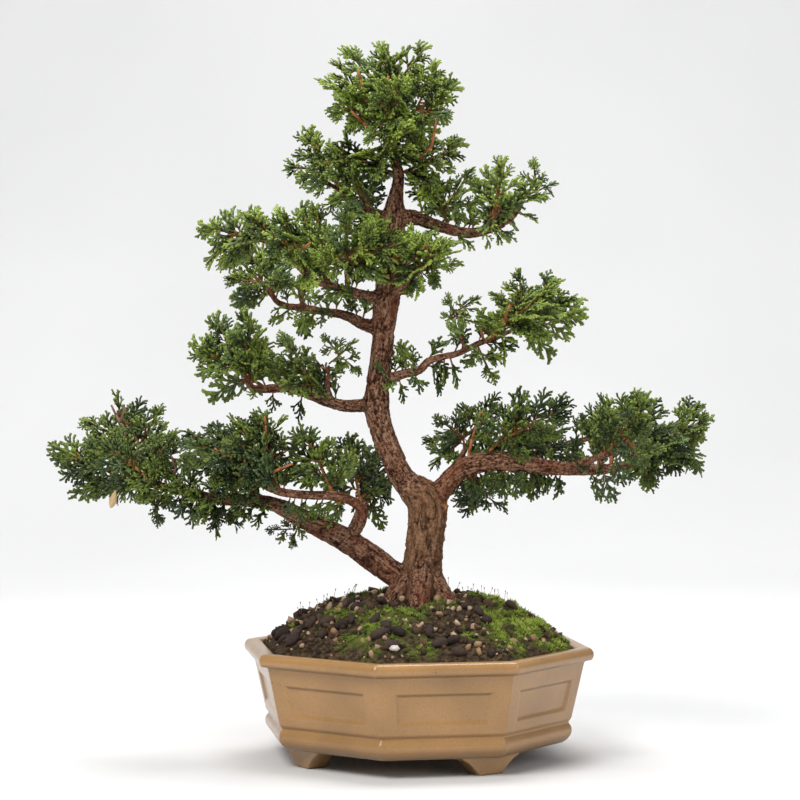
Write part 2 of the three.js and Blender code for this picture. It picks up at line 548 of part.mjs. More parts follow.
// A bracket foot: straight on the table, with hollow flanks up to the pot.
function foot(step) {
  const flank = [[7, 0], [8.2, 1.6], [10.4, 4.2], [13.4, 6.8], [16.4, 8.4], [17, BASE_Z + 1.5]];
  const shape = new THREE.Shape();
  flank.forEach(([x, z], i) => (i ? shape.lineTo(x, z) : shape.moveTo(x, z)));
  [...flank].reverse().forEach(([x, z]) => shape.lineTo(-x, z));
  shape.closePath();
  const geometry = new THREE.ExtrudeGeometry(shape, { depth: FOOT_THICK, bevelEnabled: false });
  geometry.rotateX(Math.PI / 2);
  geometry.translate(0, FOOT_THICK / 2, 0);
  geometry.rotateZ(-Math.PI / 2);
  geometry.translate(FOOT_FLAT, 0, 0);
  geometry.rotateZ(potAngle(step));
  return solidOf(geometry);
}

function drainPlaces() {
  return [-1, 1].map((sign) => {
    const angle = potAngle(0.5);
    return vec(sign * DRAIN_OUT * Math.cos(angle), sign * DRAIN_OUT * Math.sin(angle), 0);
  });
}

function pot() {
  let solid = potShell();
  for (let step = 0; step < POT_SIDES; step += 1) {
    solid = solid.subtract(panelCut(step));
    if (step % 2 === 0) {
      solid = solid.add(foot(step));
    }
  }
  for (const at of drainPlaces()) {
    const drill = new THREE.CylinderGeometry(DRAIN_RADIUS, DRAIN_RADIUS, 3 * BASE_Z, 12);
    drill.rotateX(Math.PI / 2);
    drill.translate(at.x, at.y, BASE_Z);
    solid = solid.subtract(solidOf(drill));
  }
  return meshOf('pot', solid, GLAZE);
}

function screens() {
  return drainPlaces().map((at, number) => {
    const sheet = new THREE.BoxGeometry(SCREEN_SIDE, SCREEN_SIDE, SCREEN_THICK);
    let solid = solidOf(sheet);
    const pitch = SCREEN_SIDE / (SCREEN_HOLES + 0.5);
    for (let i = 0; i < SCREEN_HOLES; i += 1) {
      for (let j = 0; j < SCREEN_HOLES; j += 1) {
        const hole = new THREE.BoxGeometry(pitch * 0.6, pitch * 0.6, 3 * SCREEN_THICK);
        const middle = (SCREEN_HOLES - 1) / 2;
        hole.translate((i - middle) * pitch, (j - middle) * pitch, 0);
        solid = solid.subtract(solidOf(hole));
      }
    }
    const mesh = meshOf(`drain_screen_${number + 1}`, solid, PLASTIC);
    mesh.rotation.z = POT_TURN;
    mesh.position.set(at.x, at.y, FLOOR_Z + CLEARANCE + SCREEN_THICK / 2);
    return mesh;
  });
}

// ---------------------------------------------------------------- soil
// Reach of the octagon with a flat at distance 1, in the direction of an angle.
function octagonReach(angle) {
  const span = (2 * Math.PI) / POT_SIDES;
  const local = ((((angle - POT_TURN) % span) + 1.5 * span) % span) - span / 2;
  return 1 / Math.cos(local);
}

// Height of the mound, with small waves for its crumbs and a dip in front of the trunk.
function moundHeight(x, y) {
  const reach = Math.hypot(x, y) / octagonReach(Math.atan2(y, x)) / MOUTH_FLAT;
  const behind = Math.min(Math.hypot(x, y - SOIL_BACK * (1 - reach)) / 76, reach);
  const rise = SOIL_CROWN * (1 - Math.max(behind, reach * 0.98) ** SOIL_POWER);
  const dip = 4 * Math.exp(-(x * x + (y + 26) ** 2) / 400);
  const fade = 1 - reach ** 6;
  const crumb = 0.9 * Math.sin(0.33 * x + 1) * Math.cos(0.29 * y) + 0.6 * Math.sin(0.7 * x + 0.5 * y);
  return SOIL_RIM_Z + Math.max(rise, 0) + fade * (crumb - dip);
}

// Middles and headings of the fertiliser pellets that lie on the mound.
const PELLETS = [
  [-37, 30, 0.3], [-29, 34, 1.4], [-18, 33, 0.9], [-48, 22, 2.6], [-58, 12, 0.4], [-66, -8, 0.7],
  [-34, -10, 0.2], [-25, -15, 1.9], [-22, -36, 1.2], [-11, -30, 0.5], [-13, -58, 1.6],
  [13, -54, 0.2], [20, -40, 2.2], [33, -16, 0.6], [29, -50, 1.3], [29, 30, 0.1], [40, 25, 2.8],
  [22, 37, 1.5],
];

function soil(clearWood) {
  const wallFlat = (z) => THREE.MathUtils.mapLinear(
    z, FLOOR_Z + 3, RIM_TOP - 1.6, FLOOR_FLAT + 2, MOUTH_FLAT,
  ) - CLEARANCE * CORNER;
  const low = FLOOR_Z + CLEARANCE;
  const profile = [[0, low], [FLOOR_FLAT - CLEARANCE * 2, low], [wallFlat(FLOOR_Z + 3), FLOOR_Z + 3]];
  for (let i = SOIL_RINGS; i >= 0; i -= 1) {
    profile.push([(wallFlat(SOIL_RIM_Z) * i) / SOIL_RINGS, SOIL_RIM_Z]);
  }
  const geometry = new THREE.LatheGeometry(profile.map(([r, z]) => new THREE.Vector2(r, z)), SOIL_SECTORS);
  geometry.rotateX(Math.PI / 2);
  geometry.rotateZ(potAngle(0));
  const place = geometry.attributes.position;
  for (let i = 0; i < place.count; i += 1) {
    const reach = octagonReach(Math.atan2(place.getY(i), place.getX(i)));
    const x = place.getX(i) * reach;
    const y = place.getY(i) * reach;
    const top = place.getZ(i) > SOIL_RIM_Z - 0.5;
    place.setXYZ(i, x, y, top ? moundHeight(x, y) : place.getZ(i));
  }
  const lumps = PELLETS.map(([x, y, heading]) => {
    const lump = new THREE.IcosahedronGeometry(1, 0);
    lump.scale(...PELLET);
    lump.rotateZ(heading);
    lump.translate(x, y, moundHeight(x, y) + 0.9);
    return solidOf(lump);
  });
  let solid = joined([solidOf(geometry), ...lumps]);
  for (const at of drainPlaces()) {
    const pocket = new THREE.BoxGeometry(
      SCREEN_SIDE + 2 * CLEARANCE,
      SCREEN_SIDE + 2 * CLEARANCE,
      2 * (SCREEN_THICK + 2 * CLEARANCE),
    );
    pocket.rotateZ(POT_TURN);
    pocket.translate(at.x, at.y, FLOOR_Z);
    solid = solid.subtract(solidOf(pocket));
  }
  return meshOf('soil', largest(solid.subtract(clearWood)), LOAM);
}

// ---------------------------------------------------------------- the assembly
const clearWood = wood(CLEARANCE + 0.05);
const tree = new THREE.Group();
tree.add(pot(), ...screens(), soil(clearWood), meshOf('wood', wood(0), BARK), ...foliage(clearWood));

// The row's origin is the middle of the tree's footprint, on the table.
tree.updateMatrixWorld(true);
const bounds = new THREE.Box3().setFromObject(tree, true);
const middle = bounds.getCenter(vec(0, 0, 0));
tree.position.set(-middle.x, -middle.y, -bounds.min.z);

const bonsai = new THREE.Group();
bonsai.add(tree);

export default bonsai;
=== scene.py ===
"""Hinoki cypress bonsai in an octagonal glazed pot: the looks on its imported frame."""

import math

import bmesh
import bpy
import numpy as np
from mathutils import Matrix, Quaternion, Vector, noise


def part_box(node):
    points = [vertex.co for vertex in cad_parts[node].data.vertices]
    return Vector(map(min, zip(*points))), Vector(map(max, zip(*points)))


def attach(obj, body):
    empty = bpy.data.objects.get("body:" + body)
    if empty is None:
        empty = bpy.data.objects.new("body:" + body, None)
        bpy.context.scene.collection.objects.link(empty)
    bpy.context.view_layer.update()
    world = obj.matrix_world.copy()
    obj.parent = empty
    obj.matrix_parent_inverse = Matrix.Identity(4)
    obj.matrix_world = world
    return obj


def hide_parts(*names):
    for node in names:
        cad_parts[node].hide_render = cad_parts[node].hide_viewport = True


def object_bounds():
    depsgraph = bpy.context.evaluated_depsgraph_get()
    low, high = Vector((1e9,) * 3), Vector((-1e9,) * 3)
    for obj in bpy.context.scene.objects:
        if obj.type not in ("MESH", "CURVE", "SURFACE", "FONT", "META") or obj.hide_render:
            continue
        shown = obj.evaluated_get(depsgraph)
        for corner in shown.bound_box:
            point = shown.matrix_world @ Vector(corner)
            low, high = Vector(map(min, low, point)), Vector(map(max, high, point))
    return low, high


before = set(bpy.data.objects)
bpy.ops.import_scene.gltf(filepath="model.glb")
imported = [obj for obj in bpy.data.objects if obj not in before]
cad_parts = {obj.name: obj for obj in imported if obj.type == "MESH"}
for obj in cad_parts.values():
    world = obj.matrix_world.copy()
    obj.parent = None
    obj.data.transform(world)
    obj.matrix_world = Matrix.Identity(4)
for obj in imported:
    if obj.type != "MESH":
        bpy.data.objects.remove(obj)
CAD_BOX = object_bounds()

bl_info = {
    "name": "Hinoki Cypress Bonsai",
    "version": (1, 0, 0),
    "blender": (4, 5, 0),
    "location": "View3D > Sidebar > Bonsai",
    "description": "Builds the wood, leafy sprays, pot, soil and moss of a hinoki cypress bonsai",
    "category": "Add Mesh",
}

MM = 0.001
BODY = "root"
UP = Vector((0, 0, 1))
# How far the leaves stay inside the CAD model's box, in millimetres.
BOX_MARGIN = 0.2


# ---------------------------------------------------------------- sizes, in millimetres
# A size in metres says so. The tree's origin is on the table, under the middle of the pot.

# The pot. Each FLAT is the distance of an octagon's flats from its middle, at a height Z.
POT_SIDES = 8
POT_TURN = math.radians(9.6)
RIM_FLAT = 83.5
RIM_TOP = 57.0
RIM_UNDER = 50.0
WALL_TOP_FLAT = 79.2
GROOVE_FLAT = 71.5
GROOVE_Z = 19.4
BASE_Z = 9.0
BASE_FLAT = 68.6
BEAD_FLAT = 73.2
FLOOR_Z = 15.0
FLOOR_FLAT = 65.0
MOUTH_FLAT = 75.0
FOOT_FLAT = 62.0
FOOT_THICK = 11.0
# Edges are rounded where the faces turn by more than these angles, the first on the shell.
POT_EDGE_TURN = 0.25
SHARP_TURN = 0.9
FOOT_EDGE = 0.9
# Half of a foot's outline, seen from outside: distances across and heights.
FOOT_FLANK = [(7, 0), (7.6, 0.9), (8.6, 2.3), (10.4, 4.2), (13.4, 6.8), (16.4, 8.4), (17, 10.5)]
# Each ring of a panel: inset, low and high edge, half width at each of them, depth in the wall.
PANEL_RINGS = [
    (4, 26.0, 41.5, 22.0, 23.5, 0),
    (1, 28.2, 40.7, 20.8, 22.3, 1.2),
]
DRAIN_RADIUS = 8.0
DRAIN_OUT = 32.0

SOIL_RIM_Z = 55.5
SOIL_CROWN = 26.0
SOIL_POWER = 2.8
SOIL_RINGS = 86
SOIL_SECTORS = 216
MOSS_TUFTS = 1350
SPORE_STALKS = 32
# The soil's crumbs, in layers: size, depth and slice of the noise.
CRUMB_LAYERS = [(4.5, 1.1, 0), (1.9, 0.8, 7), (0.9, 0.45, 13)]
# Loose things keep off the trunk, which stands a little to the right of the pot's middle.
TRUNK_FOOT = 3
TRUNK_CLEAR = 13
SCATTER_REACH = 80
PEBBLE_PLACE = (-11, -71)
PEBBLE_HALF = (2.4, 1.8, 1.5)
PELLET_HALF = (4.1, 2.3, 2.2)
PELLET_SEED = 77
MOSS_SEED = 91
STALK_SEED = 33
# Loose stones and lumps: how many, least and greatest size, seed, and how far they keep off the moss.
GRIT_DRAWS = (420, 0.8, 2.8, 21, 0.7)
CRUMB_DRAWS = (950, 0.7, 3.1, 22, 0.8)
LUMP_KINDS = 4
TUFT_KINDS = 5
TUFT_SHOOTS = 8
SOIL_BACK = 6.0

# Relief of the bark: its depth as a share of the limb's radius, the least depth, the stretch of strands.
RELIEF_SHARE = 0.11
RELIEF_LEAST = 0.12
STRAND_STRETCH = 0.16

# Colours that the panel doesn't offer, in sRGB, and the tints of old and of fresh red bark.
SCREEN_BLACK = (40, 42, 40)
DEAD_BROWN = (110, 76, 58)
AMBER_BROWN = (156, 94, 48)
DRY_STRAW = (186, 156, 112)
STALK_BROWN = (150, 108, 66)
CUT_WOOD = (196, 132, 78)
OLD_BARK = (1.2, 1.62, 1.4)
RED_BARK = (1.05, 0.7, 0.6)

# The stage. The camera stands before the tree, in tree millimetres, and looks down by its dip.
CAMERA_PLACE = (-8.3, -1250, 207)
CAMERA_DIP = 1.265
CAMERA_LENS = 111.78
SENSOR_WIDTH = 36
ROOM_COLOUR = (0.95, 0.97, 1.0)
ROOM_LIGHT = 0.28
# The height in metres at which the lights aim, and each light: name, place in metres from the aim,
# size, power and colour.
AIM_HEIGHT = 0.16
LIGHTS = [
    ("key", (-0.8, -1.2, 1.5), 1.1, 33, (1.0, 0.99, 0.97)),
    ("fill", (1.4, -1.0, 0.7), 1.4, 8, (0.97, 0.98, 1.0)),
    ("top", (0.1, 0.3, 1.7), 1.2, 31, (1.0, 1.0, 1.0)),
]
# The backdrop in metres: its front edge, where the sweep starts, its radius, its top and its width.
BACKDROP_FRONT = -3.2
SWEEP_START = 0.9
SWEEP_RADIUS = 0.9
SWEEP_STEPS = 16
BACKDROP_TOP = 4.0
BACKDROP_WIDTH = 8

# The leafy arms: their arch and sway, and the way their flat sides face.
ARCH = 0.16
SWAY = 0.14
FACING = Vector((0.25, -0.75, 0.6)).normalized()
TURN = 0.9
SPLIT = 0.35
LOBE_PAIRS = (2, 3)
SMALL_SPRAY = 24.0
LOBE_REACH = (0.62, 0.36)
LOBE_ANGLE = (1.05, 0.5)

# Each limb from its foot to its tip: place and radius.
LIMBS = {
    "trunk": [
        [2, 0, 60, 15.1], [2, 0, 75.5, 13.6], [2.2, 0, 83.5, 11.5], [3.2, 0, 98.5, 9.7],
        [5.4, 0, 119, 9.7], [4.2, 0, 129, 9.8], [-6.5, 1, 139.5, 6.4], [-14, 2, 155, 6],
        [-19, 3, 169, 6.1], [-20, 3, 179.5, 6.3], [-19.5, 3, 189, 5.7], [-17, 2, 208, 5.5],
        [-16, 1, 222.5, 6.3], [-14.5, 1, 234.5, 6.5], [-13, 0, 252.5, 5.5], [-12.2, 0, 267, 6.4],
        [-10, -1, 284, 3.5], [-9, -1, 292.5, 3], [-11.5, 0, 302.5, 2.5], [-13, 1, 317.5, 2],
        [-14, 1, 332.5, 1.5], [-14, 0, 340, 1.1],
    ],
    "root_right": [
        [6, -2, 94, 6], [11, -5, 84, 5.5], [18, -8, 76.5, 4.5], [26, -11, 69, 3.6], [34, -13, 61, 2.5],
    ],
    "root_left": [[0, 0, 97, 6], [-7, -4, 86, 5.5], [-14, -8, 77, 4.5], [-22, -12, 67, 3]],
    "root_front": [[3, -4, 97, 6], [2, -12, 86, 5.5], [1, -19, 76, 4.5], [0, -26, 66, 3]],
    "root_back": [[3, 4, 97, 6], [4, 12, 86, 5.5], [6, 20, 76, 4.5], [8, 27, 65, 3]],
    "low_left": [
        [1, 0, 82.5, 7], [-11, -1, 91.5, 6.6], [-23.5, -3, 100.8, 6.6], [-38.5, -6, 111, 6],
        [-58, -11, 121, 4.9], [-72, -14, 128, 3.7], [-89, -16, 130, 3.2], [-103.5, -17, 131, 3],
        [-116, -18, 134.5, 2.5], [-129, -18, 137.5, 2.2], [-142, -17, 139, 1.7],
        [-154.5, -15, 145, 1.2],
    ],
    "low_left_loop": [
        [-33.5, -6, 110, 3], [-28.5, -10, 117.5, 2.9], [-27, -14, 124.5, 2.7], [-32, -18, 129.5, 2.6],
        [-41, -22, 132.5, 2.4], [-53.5, -26, 133, 2.3], [-67.5, -30, 135, 2.2], [-79, -33, 140.5, 2],
        [-90.5, -35, 146, 1.6], [-98.5, -36, 153.5, 1.2],
    ],
    "low_left_back": [
        [-35.5, -5, 110, 3], [-32.5, 10, 114, 2.5], [-28, 26, 123.5, 2.1], [-22, 38, 132, 1.7],
        [-16.5, 46, 142, 1.3],
    ],
    "low_left_mid": [
        [-77, -15, 129, 2.5], [-86, 2, 136, 2], [-96, 18, 143, 1.6], [-105, 28, 150.5, 1.2],
    ],
    "low_left_end": [
        [-129.5, -18, 137.5, 2], [-134.5, -14, 145, 1.8], [-139.5, -6, 157, 1.5],
        [-146.5, 2, 167, 1.2], [-152, 6, 173, 1],
    ],
    "low_right": [
        [8, 0, 125, 6], [12.5, -1, 134, 5.3], [21, -3, 143.5, 5], [32, -5, 148, 5.2],
        [42, -7, 149, 5.2], [55.5, -9, 147.5, 4.3], [71.5, -11, 145.5, 3.6], [90.5, -12, 145, 2.9],
        [104.5, -11, 147, 2.5], [116.5, -9, 151, 1.9], [128, -6, 152.5, 1.6], [139.5, -3, 154, 1.4],
    ],
    "low_right_twig": [[20, -3, 146.5, 2], [24, 6, 153, 1.6], [28.5, 14, 161, 1.3], [32.5, 20, 171, 1]],
    "low_right_back": [
        [49, -7, 149, 2.5], [59, 12, 151, 2.1], [72, 28, 154.5, 1.9], [87, 38, 158, 1.6],
        [99, 44, 159.5, 1.1],
    ],
    "low_right_front": [
        [74.5, -11, 145.5, 2.3], [82.5, -26, 149.5, 2], [93.5, -38, 154, 1.6], [104, -46, 158, 1.2],
    ],
    "low_right_under": [
        [27, -4, 145.5, 2.5], [29.5, 10, 139.5, 2], [33.5, 22, 134, 1.5], [37, 30, 128, 1],
    ],
    "mid_left": [
        [-19.5, 3, 175.5, 4], [-27.5, 3, 176.5, 3.5], [-37.5, 3, 176.5, 3.1], [-47, 2, 179.5, 3],
        [-56.5, 1, 183.5, 2.8], [-65, -1, 185.5, 2.5], [-75.5, -3, 185, 2.3], [-82.5, -4, 185.5, 1.9],
        [-85.5, -6, 190.5, 1.5], [-87, -7, 197.5, 1.2],
    ],
    "mid_left_back": [
        [-58.5, 0, 184, 2], [-65.5, 14, 187, 1.7], [-74, 26, 191, 1.4], [-81.5, 34, 197.5, 1.1],
    ],
    "mid_left_twig": [[-42.5, 2, 178.5, 1.8], [-44.5, -2, 185.5, 1.4], [-44, -5, 197.5, 1.1]],
    "mid_right": [
        [-16.5, 3, 189, 3], [-6.5, 0, 192.5, 2.5], [1.5, -3, 194.5, 2.3], [6, -5, 199, 2.1],
        [12.5, -7, 201, 1.9], [21, -9, 203, 1.8], [30, -11, 207.5, 1.6], [38, -12, 211, 1.5],
        [42, -12, 216, 1.3], [46, -12, 225, 1],
    ],
    "mid_right_back": [
        [30, -11, 207.5, 1.6], [40, 4, 211, 1.5], [51, 16, 215.5, 1.3], [61.5, 24, 221, 1],
    ],
    "mid_right_in": [[25, -10, 204.5, 1.5], [22, -14, 210.5, 1.3], [19, -18, 216.5, 1]],
    "high_left": [
        [-19.5, 2, 216.5, 4], [-25.5, 3, 217, 3.4], [-35.5, 8, 222, 2.6], [-46.5, 13, 224, 2.2],
        [-57, 17, 226, 2], [-66, 19, 227, 1.8], [-72, 20, 230, 1.6], [-75.5, 20, 238, 1.2],
    ],
    "high_left_front": [
        [-17.5, 0, 230.5, 4], [-25.5, -5, 231.5, 3], [-34.5, -12, 234.5, 2.3], [-45, -18, 237, 2.1],
        [-52.5, -23, 240, 2], [-58, -26, 246, 1.8], [-63.5, -28, 252, 1.6], [-72, -29, 257, 1.4],
        [-81, -28, 260, 1.1],
    ],
    "high_left_mid": [
        [-45, -18, 237, 1.9], [-46, -12, 244.5, 1.6], [-49.5, -8, 252, 1.3], [-52, -8, 259.5, 1.1],
    ],
    "high_left_back": [
        [-57, 17, 226, 1.7], [-59.5, 28, 234.5, 1.5], [-58, 38, 245, 1.2], [-56.5, 42, 254.5, 1],
    ],
    "high_right_front": [
        [-14.5, 0, 233.5, 3.5], [-7.5, -7, 236.5, 2.7], [-0.5, -15, 243.5, 2.1], [6.5, -22, 249, 1.7],
        [4.5, -27, 256.5, 1.2],
    ],
    "back": [
        [-14, 0, 238, 3.5], [-13, 18, 244.5, 2.8], [-16.5, 38, 250, 2.3], [-21, 54, 255, 1.8],
        [-24, 66, 259.5, 1.3],
    ],
    "back_right": [[-13, 12, 242, 2.3], [-6, 28, 248.5, 2], [1, 42, 254.5, 1.6], [7.5, 52, 260, 1.2]],
    "upper_right": [
        [-10.5, 0, 269, 5], [-3.5, 2, 271.5, 4], [7, 4, 268.5, 3.2], [16.5, 6, 265.5, 2.9],
        [26, 7, 263.6, 2.7], [34, 7, 264.8, 2.6], [43.5, 6, 268.8, 2.4], [50.5, 5, 274.8, 2],
        [54, 4, 282, 1.3],
    ],
    "upper_right_front": [[34, 7, 264.8, 1.7], [37.5, -6, 269.5, 1.4], [41.5, -16, 275, 1.1]],
    "upper_left": [
        [-14.5, 0, 269, 4], [-20.5, 4, 273.5, 2.7], [-27.5, 9, 277.5, 2], [-37, 14, 284.5, 1.5],
        [-45, 17, 289.5, 1.3], [-51, 18, 294.5, 1.1],
    ],
}

# Each leafy stem: the limb, the point on it, the seed, and the tip and leafy length of each arm.
STEMS = {
    "apex_top": ("trunk", 19, 15, [[-14, 0, 361, 38], [-36, -6, 358, 30], [6, -4, 358, 27]]),
    "apex_left": ("trunk", 19, 16, [
        [-48, -10, 343, 39], [-43, -22, 322, 23], [-35, -6, 313, 14], [-40, 0, 353, 27],
    ]),
    "apex_right": ("trunk", 19, 15, [[23, -8, 337, 36], [16, -24, 322, 23], [12, -2, 350, 24]]),
    "apex_front": ("trunk", 19, 14, [[-8, -30, 341, 34], [-21, -34, 328, 22], [-27, -26, 307, 25]]),
    "apex_back": ("trunk", 19, 24, [[-19, 28, 349, 36], [-1, 32, 338, 24]]),
    "apex_low_right": ("trunk", 17, 24, [[26, 6, 311, 35], [12, -14, 299, 15]]),
    "apex_low_left": ("trunk", 17, 15, [[-46, 4, 310, 36], [-32, -12, 298, 14], [-7, -32, 318, 35]]),
    "crown_left_tip": ("upper_left", 3, 7, [[-56, 12, 319, 34], [-69, 22, 299, 23]]),
    "crown_left_mid": ("upper_left", 1, 11, [
        [-42, -6, 309, 37], [-30, -16, 295, 16], [-43, -4, 277, 16],
    ]),
    "crown_right_tip": ("upper_right", 8, 2, [[71, 2, 290, 16], [59, -4, 301, 15], [66, -6, 281, 10]]),
    "crown_right_front": ("upper_right_front", 1, 22, [[44, -22, 300, 30]]),
    "crown_right_back": ("upper_right", 6, 12, [[43, 34, 300, 35]]),
    "crown_right_mid": ("upper_right", 3, 14, [
        [11, 8, 296, 25], [27, -10, 296, 24], [-3, 12, 287, 18], [33, -4, 280, 18], [-1, -4, 305, 29],
    ]),
    "high_left_tip": ("high_left_front", 7, 21, [[-110, -22, 268, 35], [-107, -14, 248, 24]]),
    "high_left_top": ("high_left_front", 4, 15, [[-66, -32, 277, 35], [-84, -42, 273, 32]]),
    "high_left_end": ("high_left", 6, 1, [
        [-98, 36, 258, 36], [-97, 12, 242, 18], [-77, 40, 275, 33], [-62, 10, 241, 21],
    ]),
    "high_left_mid": ("high_left_mid", 1, 13, [
        [-49, -18, 279, 30], [-36, -26, 246, 17], [-63, -24, 247, 18],
    ]),
    "high_trunk": ("high_left_front", 2, 11, [
        [-33, -30, 275, 38], [-46, -42, 253, 23], [-15, -26, 270, 26], [-20, -22, 243, 13],
        [-2, -32, 259, 31],
    ]),
    "high_back": ("high_left_back", 2, 6, [[-58, 50, 282, 34], [-43, 60, 265, 21]]),
    "high_back_end": ("back", 2, 6, [[-34, 50, 283, 34]]),
    "high_right_front": ("high_right_front", 1, 18, [
        [17, -34, 260, 35], [23, -20, 248, 19], [-2, -28, 267, 22], [11, -14, 235, 11],
    ]),
    "high_right_back": ("back_right", 3, 2, [[24, 54, 262, 15]]),
    "mid_left_tip": ("mid_left", 6, 2, [[-113, -10, 209, 39], [-102, 4, 225, 31]]),
    "mid_left_top": ("mid_left", 7, 14, [[-82, -14, 226, 36]]),
    "mid_left_mid": ("mid_left", 3, 11, [[-66, -6, 215, 36], [-71, -4, 199, 16]]),
    "mid_left_back": ("mid_left_back", 2, 11, [[-94, 46, 218, 34]]),
    "mid_left_open": ("mid_left_twig", 2, 17, [
        [-30, -10, 211, 17], [-48, 0, 213, 13], [-27, -4, 192, 14],
    ]),
    "mid_right_tip": ("mid_right", 8, 1, [[71, -14, 243, 35], [52, -4, 247, 20], [36, -18, 234, 16]]),
    "mid_right_end": ("mid_right", 8, 2, [[83, -10, 234, 39], [68, -16, 211, 15], [58, -8, 205, 15]]),
    "mid_right_back": ("mid_right_back", 2, 10, [[90, 26, 227, 37], [72, 36, 244, 26]]),
    "mid_right_in": ("mid_right_in", 2, 11, [
        [16, -26, 233, 16], [31, -24, 232, 14], [35, -20, 217, 15],
    ]),
    "mid_right_low": ("mid_right", 6, 13, [[40, -8, 186, 21]]),
    "mid_right_bud": ("mid_right", 2, 10, [[-7, -8, 205, 12]]),
    "right_in": ("low_right_twig", 1, 1, [
        [23, 12, 174, 19], [45, 26, 177, 28], [2, 10, 159, 19], [10, -8, 171, 20], [5, 6, 145, 21],
    ]),
    "right_under": ("low_right_under", 2, 17, [[31, 32, 124, 12], [45, 26, 137, 11]]),
    "right_mid": ("low_right", 3, 14, [[59, -6, 177, 34], [47, -26, 165, 19], [78, -22, 178, 39]]),
    "right_mid_back": ("low_right_back", 1, 1, [[75, 36, 174, 32], [63, 26, 133, 24]]),
    "right_end": ("low_right", 7, 15, [[99, -4, 183, 34], [82, -12, 174, 16]]),
    "right_end_back": ("low_right_back", 3, 17, [[119, 52, 185, 38]]),
    "right_far_front": ("low_right_front", 2, 15, [
        [113, -56, 183, 34], [110, -60, 147, 21], [85, -48, 174, 16],
    ]),
    "right_far": ("low_right", 8, 3, [[122, 2, 183, 37], [116, -16, 134, 24], [134, -4, 142, 26]]),
    "right_tip": ("low_right", 9, 17, [[145, 8, 181, 39], [145, -8, 143, 23], [150, -8, 172, 23]]),
    "left_tip": ("low_left", 10, 19, [[-184, -18, 159, 41], [-178, -10, 148, 20]]),
    "left_tip_front": ("low_left", 9, 20, [[-156, -34, 162, 34], [-154, -12, 129, 22]]),
    "left_end": ("low_left_end", 1, 4, [
        [-151, 16, 179, 38], [-127, -10, 177, 21], [-169, -4, 172, 28],
    ]),
    "left_end_front": ("low_left_end", 1, 20, [[-119, -28, 165, 25], [-109, -30, 149, 20]]),
    "left_end_low": ("low_left", 9, 8, [[-128, -24, 117, 19]]),
    "left_mid_back": ("low_left_mid", 1, 10, [
        [-103, 26, 171, 39], [-120, 36, 165, 36], [-78, 8, 173, 25], [-109, 18, 142, 17],
    ]),
    "left_front_mid": ("low_left_loop", 6, 12, [
        [-88, -42, 175, 41], [-116, -42, 163, 33], [-103, -42, 141, 26],
    ]),
    "left_front": ("low_left_loop", 6, 15, [[-74, -28, 178, 38], [-56, -32, 161, 15]]),
    "left_mid_low": ("low_left", 7, 17, [[-97, -22, 111, 19], [-85, -22, 118, 15]]),
    "left_in": ("low_left_loop", 4, 18, [
        [-58, -28, 169, 35], [-44, -18, 161, 15], [-63, -34, 144, 16],
    ]),
    "left_back": ("low_left_back", 2, 20, [[-36, 36, 164, 37], [-15, 54, 153, 29], [-10, 52, 125, 28]]),
    "left_back_mid": ("low_left_back", 2, 12, [[-47, 32, 136, 20], [-50, 26, 122, 15]]),
    "left_in_low": ("low_left", 4, 16, [[-64, -12, 105, 15], [-76, -12, 115, 13]]),
}

# Places on the wood: cut stubs, bare twigs and one dry scale.
STUBS = [
    [[8, -1, 126, 3.4], [13.4, -5.2, 126, 2.6], [15.2, -6.6, 126, 2.1]],
    [[-12.5, -1, 249, 3.6], [-11, -5.5, 249.6, 3], [-10.3, -8.6, 250.2, 2.6]],
    [[-12, 0, 233.5, 2.6], [-4, -1, 234.6, 1.8], [-1.2, -1.6, 235.4, 1.4]],
]
DEAD_TWIGS = [
    [[-144, -14, 158, 0.8], [-147.5, -13, 167, 0.7], [-152, -13, 177, 0.5]],
    [[-147.5, -13, 167, 0.7], [-145.5, -14, 175.5, 0.5]],
    [[-121, -20, 141, 0.8], [-119, -24, 147, 0.7], [-121.5, -26, 153, 0.5]],
    [[-86, -36, 146, 0.8], [-83, -38, 153, 0.7], [-85, -40, 158, 0.5]],
]
AMBER_TWIGS = [
    [[-13.3, 0, 318, 1.01], [-12.8, -9, 324, 0.94], [-14.2, -16, 340, 0.65]],
    [[-13.7, 0, 320, 0.86], [-24, -7, 327, 0.79], [-29, -13, 343, 0.58]],
    [[-12.7, 0, 308, 0.94], [-22, -8, 314, 0.86], [-32.5, -15, 323, 0.58]],
    [[-10.7, 0, 297, 0.94], [6, -6, 304, 0.86], [10, -10, 320.5, 0.58]],
    [[-57.3, -25.6, 245, 1.15], [-60, -30, 251.5, 1.01], [-67.3, -34, 263, 0.65]],
    [[-60, -30, 251.5, 0.86], [-52, -35, 257, 0.58]],
    [[-78, -27.5, 258, 0.86], [-90, -27, 257, 0.58]],
    [[-81, -33.4, 142, 0.94], [-74, -31, 156, 0.86], [-74.5, -33, 172, 0.58]],
    [[-75, -32, 139, 0.94], [-86, -33, 146, 0.79], [-99, -36, 156.5, 0.58]],
    [[-80, -33, 141, 0.94], [-61, -36, 149, 0.58]],
    [[26, -6, 147, 0.94], [27, -3, 156, 0.86], [32, -7, 173.5, 0.58]],
    [[97, -11.5, 146, 0.94], [96.5, -14, 156, 0.79], [94, -18, 166.5, 0.58]],
    [[33.4, -11.4, 209, 1.08], [41.5, -15, 215, 1.01], [46, -19, 226.5, 0.65]],
    [[33.4, -11.4, 209, 0.86], [31.5, -14, 216, 0.58]],
    [[24.4, -10.8, 205.8, 0.79], [17.5, -14, 215.5, 0.5]],
]
DRY_SCALE = (-149, -33, 131.5)

